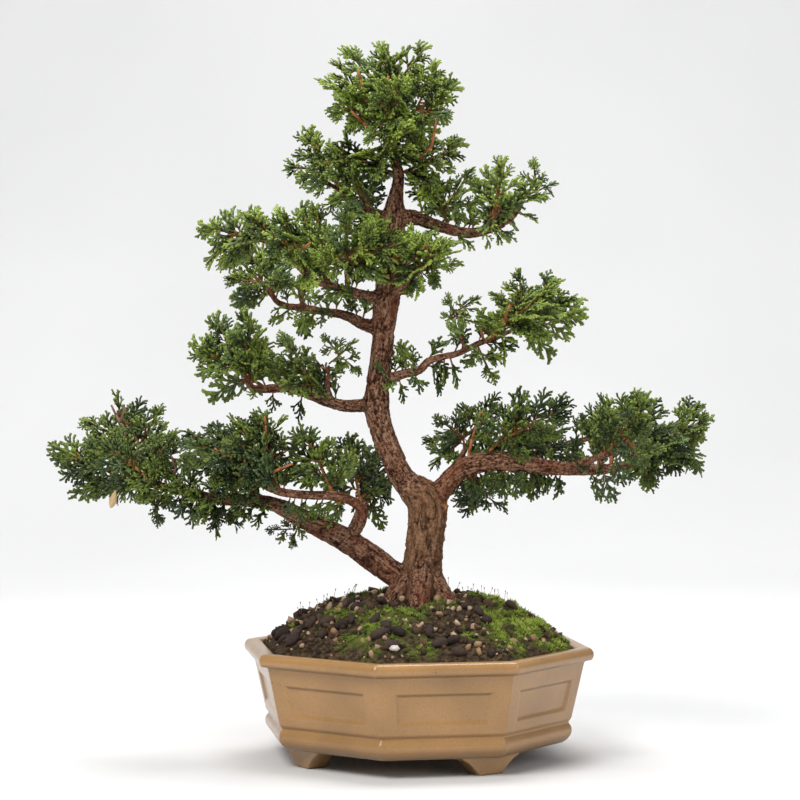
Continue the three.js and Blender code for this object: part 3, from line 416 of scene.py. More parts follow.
# Runs of short sprays on a limb: first and last point, pitch, and the shares in front and hanging.
LEAFY_RUNS = {
    "trunk": [(19, 21, 1.6, 0.8, 0.0), (17, 19, 0.9, 0.95, 0.0), (13, 15, 2.2, 1.0, 0.0)],
    "low_left": [(5, 6, 1.8, 0.8, 0.2), (6, 9, 1.0, 0.75, 0.15), (9, 11, 2.2, 0.4, 0.3)],
    "low_left_loop": [(3, 9, 3.0, 0.4, 0.2)],
    "low_left_back": [(2, 4, 4.5, 0.2, 0.3)],
    "low_left_mid": [(0, 3, 4.5, 0.3, 0.2)],
    "low_left_end": [(0, 4, 3.5, 0.4, 0.2)],
    "low_right": [(2, 6, 2.4, 0.1, 0.6), (6, 11, 2.4, 0.5, 0.2)],
    "low_right_twig": [(0, 3, 3.5, 0.4, 0.1)],
    "low_right_back": [(0, 2, 2.2, 0.2, 0.0), (2, 4, 3.5, 0.3, 0.2)],
    "low_right_front": [(1, 3, 3.0, 0.4, 0.3)],
    "low_right_under": [(0, 3, 2.0, 0.5, 0.4)],
    "mid_left": [(2, 6, 3.2, 0.2, 0.15), (6, 9, 3.2, 0.4, 0.1)],
    "mid_left_back": [(0, 3, 4.5, 0.3, 0.1)],
    "mid_left_twig": [(0, 2, 4.5, 0.3, 0.1)],
    "mid_right": [(0, 2, 2.0, 0.6, 0.1), (2, 5, 3.0, 0.2, 0.4), (5, 9, 2.4, 0.5, 0.1)],
    "mid_right_back": [(0, 3, 4.5, 0.3, 0.1)],
    "mid_right_in": [(0, 2, 3.5, 0.4, 0.1)],
    "high_left": [(1, 7, 3.2, 0.2, 0.1)],
    "high_left_front": [(1, 8, 2.6, 0.5, 0.1)],
    "high_left_mid": [(0, 3, 3.5, 0.4, 0.1)],
    "high_left_back": [(0, 3, 4.5, 0.2, 0.1)],
    "high_right_front": [(1, 4, 3.0, 0.6, 0.1)],
    "back": [(1, 2, 4.5, 0.2, 0.2), (2, 4, 1.7, 0.2, 0.2)],
    "back_right": [(0, 3, 4.5, 0.2, 0.2)],
    "upper_right": [(1, 5, 3.0, 0.3, 0.0), (5, 8, 1.7, 0.5, 0.0)],
    "upper_right_front": [(0, 2, 3.0, 0.4, 0.1)],
    "upper_left": [(0, 5, 2.6, 0.5, 0.2)],
}

# The fans and their rods, by order of branching where there are several values.
LEAF_VALUES = ("fresh", "woody")
ROD_LENGTH = (5.0, 5.0, 4.0)
ROD_OVERLAP = 0.5
FAN_SAG = 0.011
FAN_CUP = 0.02
PAIR_SHARE = 0.35
ROD_WIDTH = (1.5, 1.45, 1.55)
ROD_THICK = 1.05
NODE_PITCH = (3.3, 2.7)
SIDE_REACH = (0.4, 0.1)
SIDE_LEAST = (2.8, 2.4)
SIDE_ANGLE = (1.0, 0.6)
FRESH_FROM = (0.0, 0.1, 0.3)
FRESH_TO = (0.6, 0.65, 0.8)
FROND_LENGTHS = (28.0, 20.0, 13.0)
FROND_KINDS = 4
RAISED_ANGLE = (0.35, 1.1)
RAISED_SHARE = (0.82, 0.36)
THIN_BEHIND = 18
FROND_YOUTH = (-0.22, 0.2)
FAN_TRIES = 12
FAN_SHRINK = 0.92
RIB_END = 0.92
RIB_FAN_REACH = (7, 12)
RIB_FAN_PITCH = 5.0
LIMB_FAN_REACH = (9, 18)
# Below this height the oldest, darkest fans grow too: partly age, partly painted shade.
OLD_SHADED_BELOW = 200
BROWN_TWIG = 62

# On the soil: moss (place, reach, strength), feed pellets (place, heading) and spore stalks.
MOSS_PATCHES = [
    (52, 8, 26, 1.0), (60, -22, 20, 1.0), (43, -30, 17, 0.9), (42, -50, 13, 0.8), (33, 18, 17, 0.75),
    (70, -2, 12, 1.0), (67, -26, 12, 1.0), (-8, -36, 17, 0.9), (-24, -34, 14, 0.75), (-16, -55, 15, 0.9),
    (-32, -54, 10, 0.7), (1, -66, 10, 0.8), (-22, -69, 7, 0.5), (10, -20, 13, 0.6), (26, -56, 8, 0.45),
    (-43, -26, 13, 0.6), (-62, -10, 8, 0.4), (-22, 26, 22, 0.8), (10, 34, 22, 0.8), (-48, 18, 13, 0.6),
    (-10, 52, 18, 0.8), (34, 48, 18, 0.9), (-44, 44, 14, 0.6),
]
PELLETS = [
    (-70, 4, 0.7), (-67, -14, 0.2), (-65, -25, 2.6), (-59, -30, 0.9), (-52, -30, 0.1), (-48, -20, 1.9),
    (-44, -36, 0.4), (-35, -23, 1.2), (-30, -27, 0.3), (-25, -20, 2.2), (-17, -21, 0.9), (-32, -40, 1.5),
    (-37, -44, 0.2), (-20, -47, 0.7), (-15, -54, 1.8), (-18, -61, 0.1), (-10, -60, 2.5), (11, -64, 0.4),
    (6, -58, 1.3), (17, -62, 0.2), (25, -25, 0.6), (30, -34, 2.0), (48, -10, 0.3), (34, -42, 1.1),
    (-12, -69, 0.2), (-46, -43, 1.3), (-60, -40, 0.5), (20, -68, 2.9), (-37, 30, 0.3), (-18, 33, 0.9),
    (-58, 12, 2.4), (29, 30, 0.1), (22, 37, 1.5), (55, 34, 0.7), (0, 58, 1.9), (-30, 55, 0.5),
]
STALK_PATCHES = [(-52, 16), (-42, 26), (26, 30), (36, 26)]


# ---------------------------------------------------------------- places and pieces
def tree_origin():
    """The middle of the pot on the table, in the shared frame."""
    low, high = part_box("pot")
    return Vector(((low.x + high.x) / 2, (low.y + high.y) / 2, low.z))


ORIGIN = tree_origin()
TO_FRAME = Matrix.Translation(ORIGIN) @ Matrix.Scale(MM, 4)


def new_object(name, data):
    """An object of the scene that holds some data."""
    item = bpy.data.objects.new(name, data)
    bpy.context.scene.collection.objects.link(item)
    return item


def make_piece(name, mesh, finish, nodes=()):
    """Turns a mesh in tree millimetres into a piece that rides on the body and replaces CAD nodes."""
    mesh.name = name
    mesh.transform(TO_FRAME)
    mesh.materials.clear()
    mesh.materials.append(finish)
    mesh.shade_smooth()
    piece = new_object(name, mesh)
    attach(piece, BODY)
    if nodes:
        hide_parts(*nodes)
    return piece


def to_mesh(bm, name):
    mesh = bpy.data.meshes.new(name)
    bm.to_mesh(mesh)
    bm.free()
    return mesh


def vertex_places(mesh):
    """The corners of a mesh, one to a row."""
    places = np.empty(len(mesh.vertices) * 3)
    mesh.vertices.foreach_get("co", places)
    return places.reshape(-1, 3)


def spun(profile, heading, steps, merge):
    """A profile of reaches and heights, spun about the upright through the pot's middle."""
    bm = bmesh.new()
    verts = []
    for reach, z in profile:
        verts.append(bm.verts.new((reach * math.cos(heading), reach * math.sin(heading), z)))
    edges = [bm.edges.new(pair) for pair in zip(verts, verts[1:])]
    bmesh.ops.spin(
        bm,
        geom=verts + edges,
        cent=(0, 0, 0),
        axis=(0, 0, 1),
        angle=2 * math.pi,
        steps=steps,
        use_merge=True,
    )
    bmesh.ops.remove_doubles(bm, verts=bm.verts[:], dist=merge)
    return bm


def post(bm, sides, foot, head, tall, fan_caps=True):
    """A tapering post about the origin, along Z. Returns its corners."""
    return bmesh.ops.create_cone(
        bm, cap_ends=True, cap_tris=fan_caps, segments=sides, radius1=foot, radius2=head, depth=tall,
    )["verts"]


def turn_and_shift(bm, verts, turn, shift):
    bmesh.ops.rotate(bm, cent=(0, 0, 0), matrix=turn, verts=verts)
    bmesh.ops.translate(bm, vec=shift, verts=verts)


def applied_mesh(item):
    """The object's mesh with its modifiers applied. The object is removed."""
    bpy.context.view_layer.update()
    depsgraph = bpy.context.evaluated_depsgraph_get()
    mesh = bpy.data.meshes.new_from_object(item.evaluated_get(depsgraph))
    bpy.data.objects.remove(item)
    return mesh


DICE_START = 7919
DICE_FACTOR = 16807
DICE_SPAN = 2147483647


def dice(seed):
    """Park and Miller's generator, as the part's source draws it."""
    state = seed * DICE_START

    def roll(low=0.0, high=1.0):
        nonlocal state
        state = state * DICE_FACTOR % DICE_SPAN
        return low + (high - low) * state / DICE_SPAN

    return roll


def mix(a, b, share):
    return a + (b - a) * share


# ---------------------------------------------------------------- finishes
def linear(rgb):
    """A colour given in sRGB, 0 to 255, as Blender's linear values."""
    parts = [c / 255 for c in rgb]
    return [c / 12.92 if c <= 0.04045 else ((c + 0.055) / 1.055) ** 2.4 for c in parts]


def shaded(colour, share):
    return [c * share for c in colour]


class Finish:
    """A node material under construction. An input takes a value or another node's output."""

    def __init__(self, name, roughness, specular=0.5):
        self.material = bpy.data.materials.new(name)
        self.material.use_nodes = True
        self.tree = self.material.node_tree
        self.shader = self.tree.nodes["Principled BSDF"]
        self.fill(self.shader, {"Roughness": roughness, "Specular IOR Level": specular})

    def fill(self, node, inputs):
        for key, value in inputs.items():
            socket = node.inputs[key]
            if isinstance(value, bpy.types.NodeSocket):
                self.tree.links.new(value, socket)
            elif socket.type == "RGBA":
                socket.default_value = (*value, 1)
            else:
                socket.default_value = value

    def node(self, kind, inputs=None, **settings):
        node = self.tree.nodes.new(kind)
        for key, value in settings.items():
            setattr(node, key, value)
        self.fill(node, inputs or {})
        return node

    def object_place(self, turn=(0, 0, 0)):
        place = self.node("ShaderNodeTexCoord").outputs["Object"]
        return self.node("ShaderNodeMapping", {"Vector": place, "Rotation": turn}).outputs["Vector"]

    def attribute(self, name, output="Fac"):
        return self.node("ShaderNodeAttribute", attribute_name=name).outputs[output]

    def upward(self, vector):
        """The Z part of a vector."""
        return self.node("ShaderNodeSeparateXYZ", {"Vector": vector}).outputs["Z"]

    def noise(self, place, scale, detail=3.0, roughness=0.55, warp=0.0):
        inputs = {"Vector": place, "Scale": scale, "Detail": detail, "Roughness": roughness}
        return self.node("ShaderNodeTexNoise", {**inputs, "Distortion": warp}).outputs["Fac"]

    def cells(self, place, scale):
        """Distance from the nearest of many scattered points."""
        return self.node("ShaderNodeTexVoronoi", {"Vector": place, "Scale": scale}).outputs["Distance"]

    def ramp(self, factor, stops):
        node = self.node("ShaderNodeValToRGB", {"Fac": factor})
        elements = node.color_ramp.elements
        while len(elements) < len(stops):
            elements.new(0.5)
        for element, (position, colour) in zip(elements, stops):
            element.position = position
            element.color = (*colour, 1)
        return node.outputs["Color"]

    def grey(self, factor, low, high, start=0.0, end=1.0):
        """Maps a factor from start..end to low..high, clamped."""
        inputs = {"Value": factor, "From Min": start, "From Max": end, "To Min": low, "To Max": high}
        return self.node("ShaderNodeMapRange", inputs).outputs["Result"]

    def combine(self, a, b, operation="ADD", clamp=False):
        node = self.node("ShaderNodeMath", {0: a, 1: b}, operation=operation, use_clamp=clamp)
        return node.outputs["Value"]

    def blend(self, factor, a, b, kind="MIX"):
        node = self.node("ShaderNodeMix", data_type="RGBA", blend_type=kind)
        self.fill(node, {0: factor, 6: a, 7: b})
        return node.outputs[2]

    def bump(self, height, distance, strength=1.0, after=None):
        inputs = {"Height": height, "Distance": distance, "Strength": strength}
        if after is not None:
            inputs["Normal"] = after
        return self.node("ShaderNodeBump", inputs).outputs["Normal"]

    def done(self, colour, normal=None, roughness=None):
        """The material, with its surface fed."""
        inputs = {"Base Color": colour, "Normal": normal, "Roughness": roughness}
        self.fill(self.shader, {key: value for key, value in inputs.items() if value is not None})
        return self.material


def glaze_finish(colour, speckle):
    """Tan stoneware glaze: cloudy, finely speckled, with a few pits, and painted shade where it faces down.
    """
    make = Finish("glaze", 0.3)
    make.fill(make.shader, {"Coat Weight": 0.3, "Coat Roughness": 0.14})
    place = make.object_place()
    cloud = make.grey(make.noise(place, 28, 4), 0, 1, 0.35, 0.65)
    base = make.blend(cloud, shaded(colour, 0.85), shaded(colour, 1.1))
    grains = make.noise(place, 1500, 2, 0.6)
    dots = make.blend(make.grey(grains, 0, speckle, 0.56, 0.7), base, shaded(colour, 0.45))
    pit = make.grey(make.cells(place, 130), 1, 0, 0.05, 0.11)
    chosen = make.grey(make.noise(place, 90, 1), 0, 1, 0.6, 0.63)
    pitted = make.blend(make.combine(pit, chosen, "MULTIPLY"), dots, shaded(colour, 0.3))
    # Painted shade: faces that turn downward darken toward 0.3 of the glaze colour.
    facing = make.upward(make.node("ShaderNodeNewGeometry").outputs["Normal"])
    full = make.blend(make.grey(facing, 0.62, 0, -0.8, -0.3), pitted, shaded(colour, 0.3))
    rough = make.grey(make.noise(place, 60, 3), 0.22, 0.42)
    wave = make.bump(make.noise(place, 45, 2), 0.0012, 0.35)
    return make.done(full, make.bump(grains, 0.0002, 0.25, wave), rough)


def bark_finish(young, flake, deep):
    """Fibrous reddish bark that runs along each limb, with dark fissures, shade painted deep in them, and
    pale flakes.
    """
    make = Finish("bark", 0.9, 0.2)
    along = make.attribute("bark_place", "Vector")
    relief = make.attribute("bark_relief")
    girth = make.attribute("girth")
    place = make.object_place()
    strands = make.noise(along, 700, 5, 0.7, 0.5)
    fibres = make.noise(along, 2600, 3, 0.6)
    grains = make.noise(place, 850, 4, 0.7)
    rough = make.combine(make.grey(fibres, -0.14, 0.14, 0.3, 0.7), make.grey(grains, -0.2, 0.2, 0.35, 0.65))
    # Relief darkens fissures and pales ridges: partly the bark's own colour, partly painted shade and light.
    tone = make.combine(make.combine(strands, rough), make.grey(relief, -0.12, 0.1, -1, 1))
    bark = make.ramp(tone, [(0.3, deep), (0.46, young), (0.72, flake)])
    grey = [0.3 * (young[0] + young[1] + young[2])] * 3
    patches = make.grey(make.noise(place, 60, 3), 0, 0.55, 0.45, 0.7)
    weathered = make.blend(patches, bark, grey, "SOFT_LIGHT")
    old = [c * share for c, share in zip(young, OLD_BARK)]
    aged = make.blend(make.grey(girth, 0, 0.75, 0.007, 0.0115), weathered, old)
    red = [c * share for c, share in zip(young, RED_BARK)]
    patched = make.blend(make.grey(make.noise(place, 38, 3), 0, 0.55, 0.5, 0.66), aged, red)
    # Painted shade: the deepest relief darkens toward 0.45 of the fissure colour.
    fissure_shaded = make.blend(make.grey(relief, 0.75, 0, -0.95, -0.15), patched, shaded(deep, 0.45))
    twigs = make.blend(make.grey(girth, 0.45, 0, 0.0008, 0.003), fissure_shaded, shaded(young, 1.1))
    sawn = make.blend(make.attribute("cut"), twigs, linear(CUT_WOOD))
    coarse = make.bump(strands, 0.0024)
    return make.done(sawn, make.bump(fibres, 0.0006, 0.8, coarse))


def leaf_finish(deep, fresh, glaucous, twig):
    """Scale leaves: deep green within, yellow-green at the tips, with blue-green patches and painted shade.
    """
    make = Finish("scale_leaves", 0.5, 0.35)
    place = make.object_place()
    lean = make.attribute("fresh")
    for scale, most in ((45, 0.28), (160, 0.18)):
        lean = make.combine(lean, make.grey(make.noise(place, scale, 2), -most, most, 0.3, 0.7))
    middle = [mix(d, f, 0.4) for d, f in zip(deep, fresh)]
    green = make.ramp(lean, [(0.12, deep), (0.5, middle), (0.95, fresh)])
    blue = make.noise(make.object_place(turn=(0.5, 0.3, 0.9)), 38, 2)
    cool = make.blend(make.grey(blue, 0, 0.5, 0.52, 0.68), green, glaucous)
    shadow = shaded(deep, 0.45)
    # Lower leaves darken toward the shadow colour: partly older growth, partly painted shade.
    older_shaded = make.blend(make.grey(make.upward(place), 0.42, 0, 0.15, 0.25), cool, shadow)
    # Painted shade in the seams between the scales.
    scales = make.cells(place, 620)
    scaled = make.blend(make.grey(scales, 0, 0.35, 0.3, 0.75), older_shaded, shadow)
    full = make.blend(make.attribute("woody"), scaled, twig)
    return make.done(full, make.bump(scales, 0.0004, 0.5))


def soil_finish(loam, crumb, moss):
    """Dark crumbly soil with dry brown crumbs, dark grains and a film of moss."""
    make = Finish("soil", 0.95, 0.2)
    place = make.object_place()
    crumbs = make.noise(place, 330, 5, 0.7)
    grains = make.cells(place, 480)
    base = make.blend(make.grey(crumbs, 0, 1, 0.4, 0.62), loam, crumb)
    tinted = make.blend(make.grey(grains, 0.6, 0, 0.1, 0.6), base, shaded(loam, 0.4))
    film = make.combine(make.attribute("mossy"), make.grey(crumbs, 0.9, 1.9, 0.35, 0.65), "MULTIPLY", True)
    rough = make.bump(crumbs, 0.002, 0.9)
    return make.done(make.blend(film, tinted, moss), make.bump(grains, 0.0008, 0.6, rough))


def stone_finish(name, dark, pale, scale):
    """A rough mineral or dried lump whose tone changes from one piece to the next."""
    make = Finish(name, 0.85, 0.3)
    grain = make.noise(make.object_place(), scale, 4, 0.65)
    base = make.blend(make.attribute("tone"), dark, pale)
    full = make.blend(make.grey(grain, 0.45, 0, 0.35, 0.6), base, shaded(dark, 0.45))
    return make.done(full, make.bump(grain, 0.0005, 0.7))


def moss_finish(deep, bright):
    """Moss tufts toned from the old moss colour, partly painted shade, to the new moss colour, partly
    painted light.
    """
    make = Finish("moss", 0.85, 0.2)
    patch = make.grey(make.noise(make.object_place(), 110, 2), -0.25, 0.25, 0.35, 0.65)
    tone = make.combine(make.attribute("tone"), patch)
    return make.done(make.ramp(tone, [(0.1, deep), (0.9, bright)]))


def plain_finish(name, rgb):
    """One matt colour with a fine grain."""
    make = Finish(name, 0.55)
    colour = linear(rgb)
    grain = make.noise(make.object_place(), 1200, 2)
    shade = make.blend(grain, shaded(colour, 0.8), [c * 1.3 + 0.005 for c in colour])
    return make.done(shade, make.bump(grain, 0.0001, 0.5))


# ---------------------------------------------------------------- pot
def pot_angle(step):
    """Direction from the pot's middle: whole numbers are corners, halves are flats."""
    return math.pi / POT_SIDES + POT_TURN + step * 2 * math.pi / POT_SIDES


def wall_flat(z):
    """How far the outside of the wall stands from the pot's middle, at a height."""
    return mix(GROOVE_FLAT + 1.6, WALL_TOP_FLAT, (z - GROOVE_Z - 2) / (RIM_UNDER - GROOVE_Z - 2))


def pot_profile():
    """The section of the pot, as distances of the flats and heights."""
    bead = []
    steps = 6
    for i in range(steps + 1):
        t = i / steps
        bulge = (BEAD_FLAT - (BASE_FLAT + GROOVE_FLAT) / 2) * math.sin(math.pi * t) ** 0.7
        bead.append((mix(BASE_FLAT, GROOVE_FLAT, t) + bulge, mix(BASE_Z, GROOVE_Z, t)))
    return [
        (0, BASE_Z),
        *bead,
        (GROOVE_FLAT + 1.6, GROOVE_Z + 2),
        (WALL_TOP_FLAT, RIM_UNDER),
        (RIM_FLAT - 0.8, RIM_UNDER + 0.8),
        (RIM_FLAT, RIM_UNDER + 2.6),
        (RIM_FLAT, RIM_TOP - 2.6),
        (RIM_FLAT - 1, RIM_TOP - 0.7),
        (RIM_FLAT - 2.8, RIM_TOP),
        (MOUTH_FLAT + 1, RIM_TOP - 0.4),
        (MOUTH_FLAT, RIM_TOP - 1.6),
        (FLOOR_FLAT + 2, FLOOR_Z + 3),
        (FLOOR_FLAT, FLOOR_Z),
        (0, FLOOR_Z),
    ]


def pot_shell():
    """The pot's octagonal body, spun from its profile, with its panels set in."""
    corner = 1 / math.cos(math.pi / POT_SIDES)
    profile = [(flat * corner, z) for flat, z in pot_profile()]
    bm = spun(profile, pot_angle(0), POT_SIDES, 0.01)
    bmesh.ops.recalc_face_normals(bm, faces=bm.faces[:])
    for step in range(POT_SIDES):
        set_in_panel(bm, pot_angle(step + 0.5))
    return bm


def set_in_panel(bm, heading):
    """Insets the wall that faces a heading, ring by ring, down to the sunken panel."""
    out = Vector((math.cos(heading), math.sin(heading), 0))
    tall = RIM_UNDER - GROOVE_Z
    walls = [face for face in bm.faces if tall - 3 < spread(face) < tall]
    wall = max(walls, key=lambda face: face.calc_center_median().dot(out))
    for inset, *ring in PANEL_RINGS:
        bmesh.ops.inset_individual(bm, faces=[wall], thickness=inset, use_even_offset=True)
        shape_panel(wall, out, *ring)


def spread(face):
    heights = [vert.co.z for vert in face.verts]
    return max(heights) - min(heights)


def shape_panel(face, out, low, high, half_low, half_top, depth):
    """Moves a wall face's four corners to a panel's own, sunk by a depth."""
    side = Vector((-out.y, out.x, 0))
    middle = face.calc_center_median()
    for vert in face.verts:
        z, half = (high, half_top) if vert.co.z > middle.z else (low, half_low)
        across = half if (vert.co - middle).dot(side) > 0 else -half
        spot = out * (wall_flat(z) - depth) + side * across
        vert.co = (spot.x, spot.y, z)


def foot_shape(step):
    """A bracket foot with hollow flanks, under one corner."""
    bm = bmesh.new()
    outline = FOOT_FLANK + [(-x, z) for x, z in reversed(FOOT_FLANK)]
    verts = [bm.verts.new((FOOT_FLAT - FOOT_THICK / 2, x, z)) for x, z in outline]
    face = bm.faces.new(verts)
    grown = bmesh.ops.extrude_face_region(bm, geom=[face])
    moved = [item for item in grown["geom"] if isinstance(item, bmesh.types.BMVert)]
    bmesh.ops.translate(bm, vec=(FOOT_THICK, 0, 0), verts=moved)
    bmesh.ops.recalc_face_normals(bm, faces=bm.faces[:])
    round_edges(bm, FOOT_EDGE, SHARP_TURN, False)
    turn_and_shift(bm, bm.verts[:], Matrix.Rotation(pot_angle(step), 3, "Z"), (0, 0, 0))
    return to_mesh(bm, "foot")


def drain_hole(side):
    """A cutter for one drain hole, on the side of the floor given as -1 or 1."""
    bm = bmesh.new()
    verts = post(bm, 48, DRAIN_RADIUS, DRAIN_RADIUS, 30, False)
    bmesh.ops.translate(bm, vec=(side * DRAIN_OUT, 0, FLOOR_Z), verts=verts)
    return to_mesh(bm, "hole")


def round_edges(bm, offset, least, clamp=True):
    """Rounds the edges at which the faces turn by more than an angle."""
    sharp = [edge for edge in bm.edges if edge.calc_face_angle(0) > least]
    bmesh.ops.bevel(
        bm,
        geom=sharp,
        offset=offset,
        offset_type="OFFSET",
        affect="EDGES",
        segments=3,
        profile=0.5,
        material=-1,
        clamp_overlap=clamp,
    )


def bore_and_join(shell, cutters, extras):
    """The shell with its feet joined on and its drain holes bored."""
    item = new_object("pot_shell", shell)
    passing = []
    for operation, meshes in (("UNION", extras), ("DIFFERENCE", cutters)):
        for mesh in meshes:
            tool = new_object("pot_tool", mesh)
            passing.append(tool)
            cut = item.modifiers.new(operation.lower(), "BOOLEAN")
            cut.operation = operation
            cut.solver = "EXACT"
            cut.object = tool
    mesh = applied_mesh(item)
    for tool in passing:
        bpy.data.objects.remove(tool)
    return mesh


# ---------------------------------------------------------------- soil
def octagon_reach(x, y):
    """Reach of the octagon with a flat at distance 1, in the direction of a place."""
    span = 2 * math.pi / POT_SIDES
    local = (math.atan2(y, x) - POT_TURN + span / 2) % span - span / 2
    return 1 / math.cos(local)


def rim_share(x, y):
    """How far a place lies from the middle toward the pot's mouth, 0 to 1."""
    return math.hypot(x, y) / octagon_reach(x, y) / MOUTH_FLAT


def mound_height(x, y):
    """Height of the mound, as the part's source gives it."""
    reach = rim_share(x, y)
    behind = min(math.hypot(x, y - SOIL_BACK * (1 - reach)) / 76, reach)
    rise = SOIL_CROWN * (1 - max(behind, reach * 0.98) ** SOIL_POWER)
    dip = 4 * math.exp(-(x * x + (y + 26) ** 2) / 400)
    fade = 1 - reach**6
    crumb = 0.9 * math.sin(0.33 * x + 1) * math.cos(0.29 * y) + 0.6 * math.sin(0.7 * x + 0.5 * y)
    return SOIL_RIM_Z + max(rise, 0) + fade * (crumb - dip)


def moss_cover(x, y):
    """How thickly moss grows at a place on the mound, 0 to 1."""
    cover = 0.0
    for patch_x, patch_y, reach, strength in MOSS_PATCHES:
        away = math.hypot(x - patch_x, y - patch_y) / reach
        cover = max(cover, strength * max(0, 1 - away**2))
    ragged = 0.5 + 0.9 * noise.noise(Vector((x / 6, y / 6, 4.2)))
    return max(0.0, min(1.0, cover * 1.5 * ragged))


def ground_height(x, y):
    """The mound with its crumbs, hollows and moss cushions."""
    fade = max(0.0, 1 - rim_share(x, y) ** 8)
    crumbs = sum(depth * noise.noise(Vector((x / size, y / size, cut))) for size, depth, cut in CRUMB_LAYERS)
    return mound_height(x, y) + fade * (crumbs - 0.9 + 1.2 * moss_cover(x, y))


# ---------------------------------------------------------------- wood
def limb_line(points, spacing=2.2):
    """A smooth line through a limb's points: places and radii."""
    rows = [np.array(point, float) for point in points]
    rows = [2 * rows[0] - rows[1], *rows, 2 * rows[-1] - rows[-2]]
    line = []
    for before, start, end, after in zip(rows, rows[1:], rows[2:], rows[3:]):
        steps = max(2, int(np.linalg.norm(end[:3] - start[:3]) / spacing))
        straight = end - before
        bend = 2 * before - 5 * start + 4 * end - after
        twist = 3 * start - before - 3 * end + after
        for k in range(steps):
            t = k / steps
            line.append(0.5 * (2 * start + straight * t + bend * t * t + twist * t**3))
    line.append(rows[-2])
    return np.array(line)


def tube_mesh(name, line):
    """A closed tube along a line of places and radii."""
    curve = bpy.data.curves.new(name, "CURVE")
    curve.dimensions = "3D"
    curve.bevel_mode = "ROUND"
    curve.bevel_depth = 1.0
    curve.bevel_resolution = 3
    curve.use_fill_caps = True
    spline = curve.splines.new("POLY")
    spline.points.add(len(line) - 1)
    for point, (x, y, z, radius) in zip(spline.points, line):
        point.co = (x, y, z, 1)
        point.radius = radius
    mesh = applied_mesh(new_object(name, curve))
    bpy.data.curves.remove(curve)
    return mesh


def across_axes(direction):
    """Two directions across a line that turn little from one point of it to the next."""
    side = np.cross(direction, np.array([0.31, 0.93, 0.2]))
    side /= np.linalg.norm(side, axis=-1, keepdims=True)
    return side, np.cross(direction, side)


def bark_places(points, lines):
    """For each point: its limb's offset across, its run along the limb, and the limb's radius there."""
    starts, ends, runs = [], [], []
    for line in lines:
        lengths = np.linalg.norm(np.diff(line[:, :3], axis=0), axis=1)
        run = np.concatenate([[0], np.cumsum(lengths)])
        starts.append(line[:-1])
        ends.append(line[1:])
        runs.append(np.stack([run[:-1], run[1:]], 1))
    starts, ends, runs = (np.concatenate(parts) for parts in (starts, ends, runs))
    step = ends[:, :3] - starts[:, :3]
    square = np.maximum((step**2).sum(1), 1e-9)
    best = np.full(len(points), np.inf)
    which = np.zeros(len(points), int)
    share = np.zeros(len(points))
    for k in range(len(starts)):
        near = np.clip((points - starts[k, :3]) @ step[k] / square[k], 0, 1)
        away = np.linalg.norm(points - starts[k, :3] - near[:, None] * step[k], axis=1)
        score = away - mix(starts[k, 3], ends[k, 3], near)
        closer = score < best
        best[closer] = score[closer]
        which[closer] = k
        share[closer] = near[closer]
    middle = starts[which, :3] + share[:, None] * step[which]
    radii = mix(starts[which, 3], ends[which, 3], share)
    run = mix(runs[which, 0], runs[which, 1], share)
    direction = step[which] / np.sqrt(square[which])[:, None]
    side, other = across_axes(direction)
    offset = points - middle
    place = np.stack([(offset * side).sum(1), (offset * other).sum(1), run], 1)
    return place, radii


def bark_relief(place, radius):
    """Height of the bark, about -1 in a fissure to 1 on a ridge."""
    across_x, across_y, along = place
    wide = 0.3 if radius > 4 else 0.6

    def layer(across, lengthwise, start, wander=0.0):
        """Noise of one fineness across the limb and another along it."""
        spot = Vector((across_x * across + wander, across_y * across, along * lengthwise + start))
        return noise.noise(spot)

    plates = layer(wide, wide * 0.24, 0, 1.2 * layer(0.2, 0.12, 5))
    fibres = layer(wide * 2.6, wide * 0.4, 9)
    flakes = layer(1.3, 0.45, 31)
    breaks = layer(0.25, 0.5, 60)
    crack = max(0.0, 1 - abs(plates) / 0.13) + 0.4 * max(0.0, 1 - abs(breaks) / 0.05)
    return max(-1.0, min(1.0, 0.28 + 0.7 * fibres + 0.5 * flakes - 1.3 * crack))


def limb_skin(lines, voxel):
    """All the tubes melted into one closed skin."""
    bm = bmesh.new()
    for line in lines:
        mesh = tube_mesh("limb", line)
        bm.from_mesh(mesh)
        bpy.data.meshes.remove(mesh)
    item = new_object("limbs", to_mesh(bm, "limbs"))
    skin = item.modifiers.new("skin", "REMESH")
    skin.mode = "VOXEL"
    skin.voxel_size = voxel
    soften = item.modifiers.new("soften", "SMOOTH")
    soften.factor = 0.5
    soften.iterations = 3
    return applied_mesh(item)


def cut_faces(points, stubs):
    """1 for the points on the sawn end of a stub, 0 elsewhere."""
    cut = np.zeros(len(points))
    for stub in stubs:
        end, before = stub[-1, :3], stub[-2, :3]
        out = (end - before) / np.linalg.norm(end - before)
        from_end = points - end
        beyond = from_end @ out
        aside = np.linalg.norm(from_end - beyond[:, None] * out, axis=1)
        cut = np.maximum(cut, (beyond > -0.5) * (aside < stub[-1, 3] * 0.85))
    return cut


